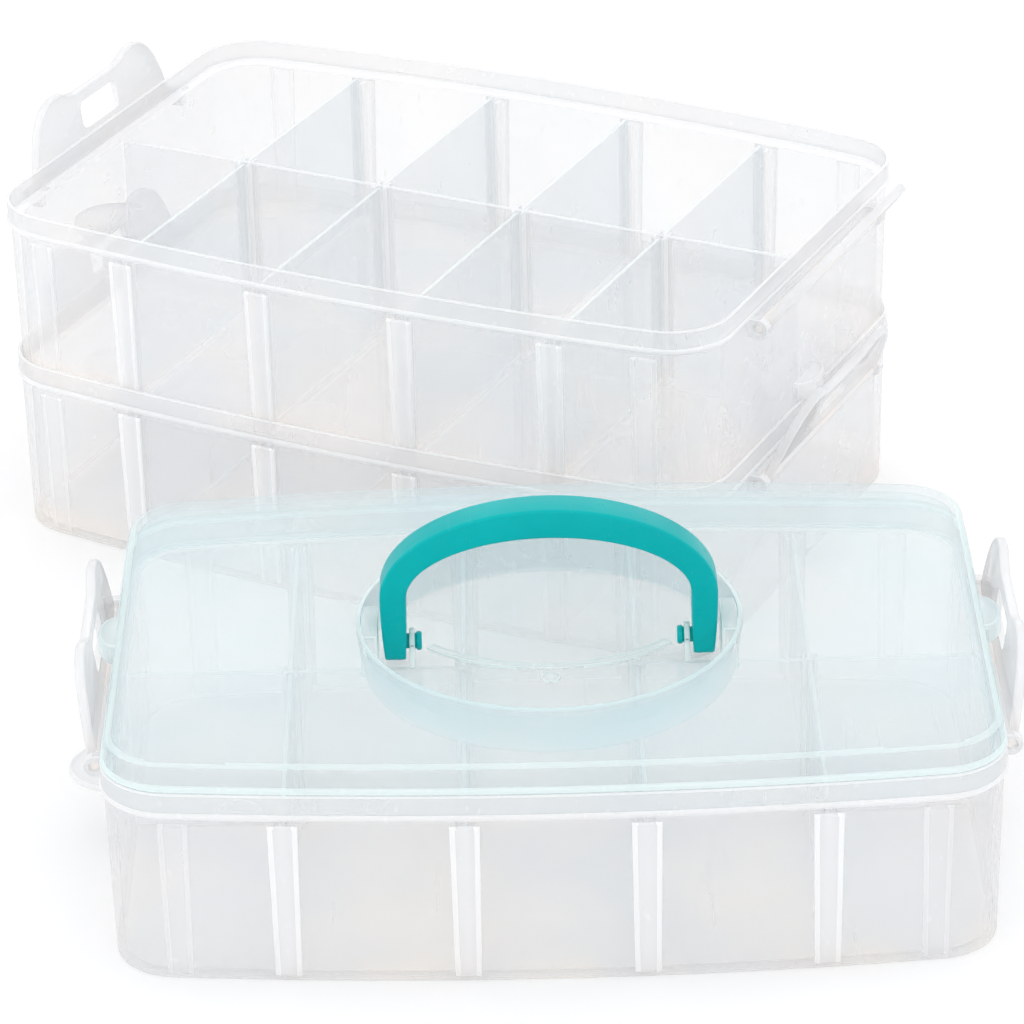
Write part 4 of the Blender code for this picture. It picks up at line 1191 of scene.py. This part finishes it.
def build_handle():
    """Bail handle upright, pivot line along X through the origin."""
    inner_half = HANDLE_HALF_WIDTH - HANDLE_LEG_WIDTH
    top = HANDLE_TOP - PIVOT_HEIGHT
    inner_top = top - HANDLE_CROWN
    rings = [leg_section(1.0, height, depth) for height, depth in leg_levels()]
    for i in range(HANDLE_STATIONS + 1):
        angle = math.pi * i / HANDLE_STATIONS
        outer = arch_point(angle, HANDLE_HALF_WIDTH, top)
        inner = arch_point(angle, inner_half, inner_top)
        rings.append(handle_section(outer, inner, HANDLE_HALF_DEPTH))
    rings += [leg_section(-1.0, height, depth) for height, depth in reversed(leg_levels())]
    bm = bmesh.new()
    add_loft(bm, rings)
    plain = even(OPAQUE)
    handle = mesh_object("handle_mould", bm, plain)
    origin = Vector((0.0, 0.0, 0.0))
    for sign in (-1.0, 1.0):
        parts = ((PIN_HEAD_OUTER_X - 0.0004, inner_half + 0.0020, PIN_RADIUS, 0.0, 28),
                 (PIN_HEAD_INNER_X, PIN_HEAD_OUTER_X, PIN_HEAD_RADIUS, 0.0004, 32))
        for near, far, radius, edge, segments in parts:
            bm = bmesh.new()
            add_rod(bm, origin, "X", min(sign * near, sign * far), max(sign * near, sign * far),
                    radius, edge, segments)
            combine(handle, mesh_object("handle_part", bm, plain), "UNION")
    tidy(handle, HANDLE_SMOOTH_LIMIT)
    return handle


# ---------------------------------------------------------------- placing the pieces
def place(mould, name, matrix, body, cad_node, slot, material):
    """Copy of a moulding at its CAD node's place, riding on the node's body."""
    mesh = mould.data.copy()
    mesh.name = name
    mesh.transform(matrix.to_3x3().to_4x4())
    mesh.materials.clear()
    mesh.materials.append(material)
    piece = bpy.data.objects.new(name, mesh)
    piece.location = matrix.translation
    bpy.context.scene.collection.objects.link(piece)
    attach(piece, body)
    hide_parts(cad_node)
    piece.visible_shadow = slot == "handle_plastic"
    return piece


def place_latches(mould, tray, materials):
    """Both latches of a tray, opened as far as their joints' lower limits say."""
    for side, turn in (("left", math.pi), ("right", 0.0)):
        name = "latch_" + tray + "_" + side
        joint = JOINTS[name + "_hinge"]
        opening = math.radians(-joint["range_deg"][0])
        local = Matrix.Rotation(turn, 4, "Z") @ Matrix.Rotation(opening, 4, "Y")
        matrix = Matrix.Translation(Vector(joint["pos_m"])) @ FRAMES[tray].to_3x3().to_4x4() @ local
        place(mould, name + "_fine", matrix, name, name, "latch_plastic", materials["latch"])


def divider_limits(cad_node, matrix):
    """Corners of a CAD divider in its tray's frame."""
    inverse = matrix.inverted()
    points = [inverse @ vertex.co for vertex in frame["nodes"][cad_node].data.vertices]
    low = Vector([min(p[k] for p in points) for k in range(3)])
    high = Vector([max(p[k] for p in points) for k in range(3)])
    return low, high


def place_dividers(tray, materials):
    """Eight cross walls of a tray, each fitted to its CAD node."""
    for row in ("front", "back"):
        for index in range(len(COLUMN_EDGES)):
            name = "divider_" + tray + "_" + row + "_" + str(index + 1)
            low, high = divider_limits(name, FRAMES[tray])
            half = 0.5 * (high.x - low.x)
            mould = divider_slab((low.y, low.z), (high.y, high.z), half)
            matrix = FRAMES[tray] @ Matrix.Translation((0.5 * (low.x + high.x), 0.0, 0.0))
            body = frame["nodes"][name]["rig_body"]
            place(mould, name + "_fine", matrix, body, name, "divider_plastic", materials["divider"])
            bpy.data.objects.remove(mould, do_unlink=True)


def build_pieces():
    """All the mouldings."""
    materials = make_materials()
    tray = build_tray()
    latch = build_latch()
    lid = build_lid()
    handle = build_handle()
    for name, matrix in FRAMES.items():
        body = frame["nodes"][name + "_tray"]["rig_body"]
        place(tray, name + "_tray_fine", matrix, body, name + "_tray", "tray_plastic", materials["tray"])
        place_latches(latch, name, materials)
        place_dividers(name, materials)
    place(lid, "lid_fine", FRONT, "lid", "lid", "lid_plastic", materials["lid"])
    pivot = FRONT @ Matrix.Translation((0.0, 0.0, PIVOT_HEIGHT))
    place(handle, "handle_fine", pivot, "handle", "handle", "handle_plastic", materials["handle"])
    for mould in (tray, latch, lid, handle):
        bpy.data.objects.remove(mould, do_unlink=True)


make_camera()
make_studio()
set_bounces()
build_pieces()
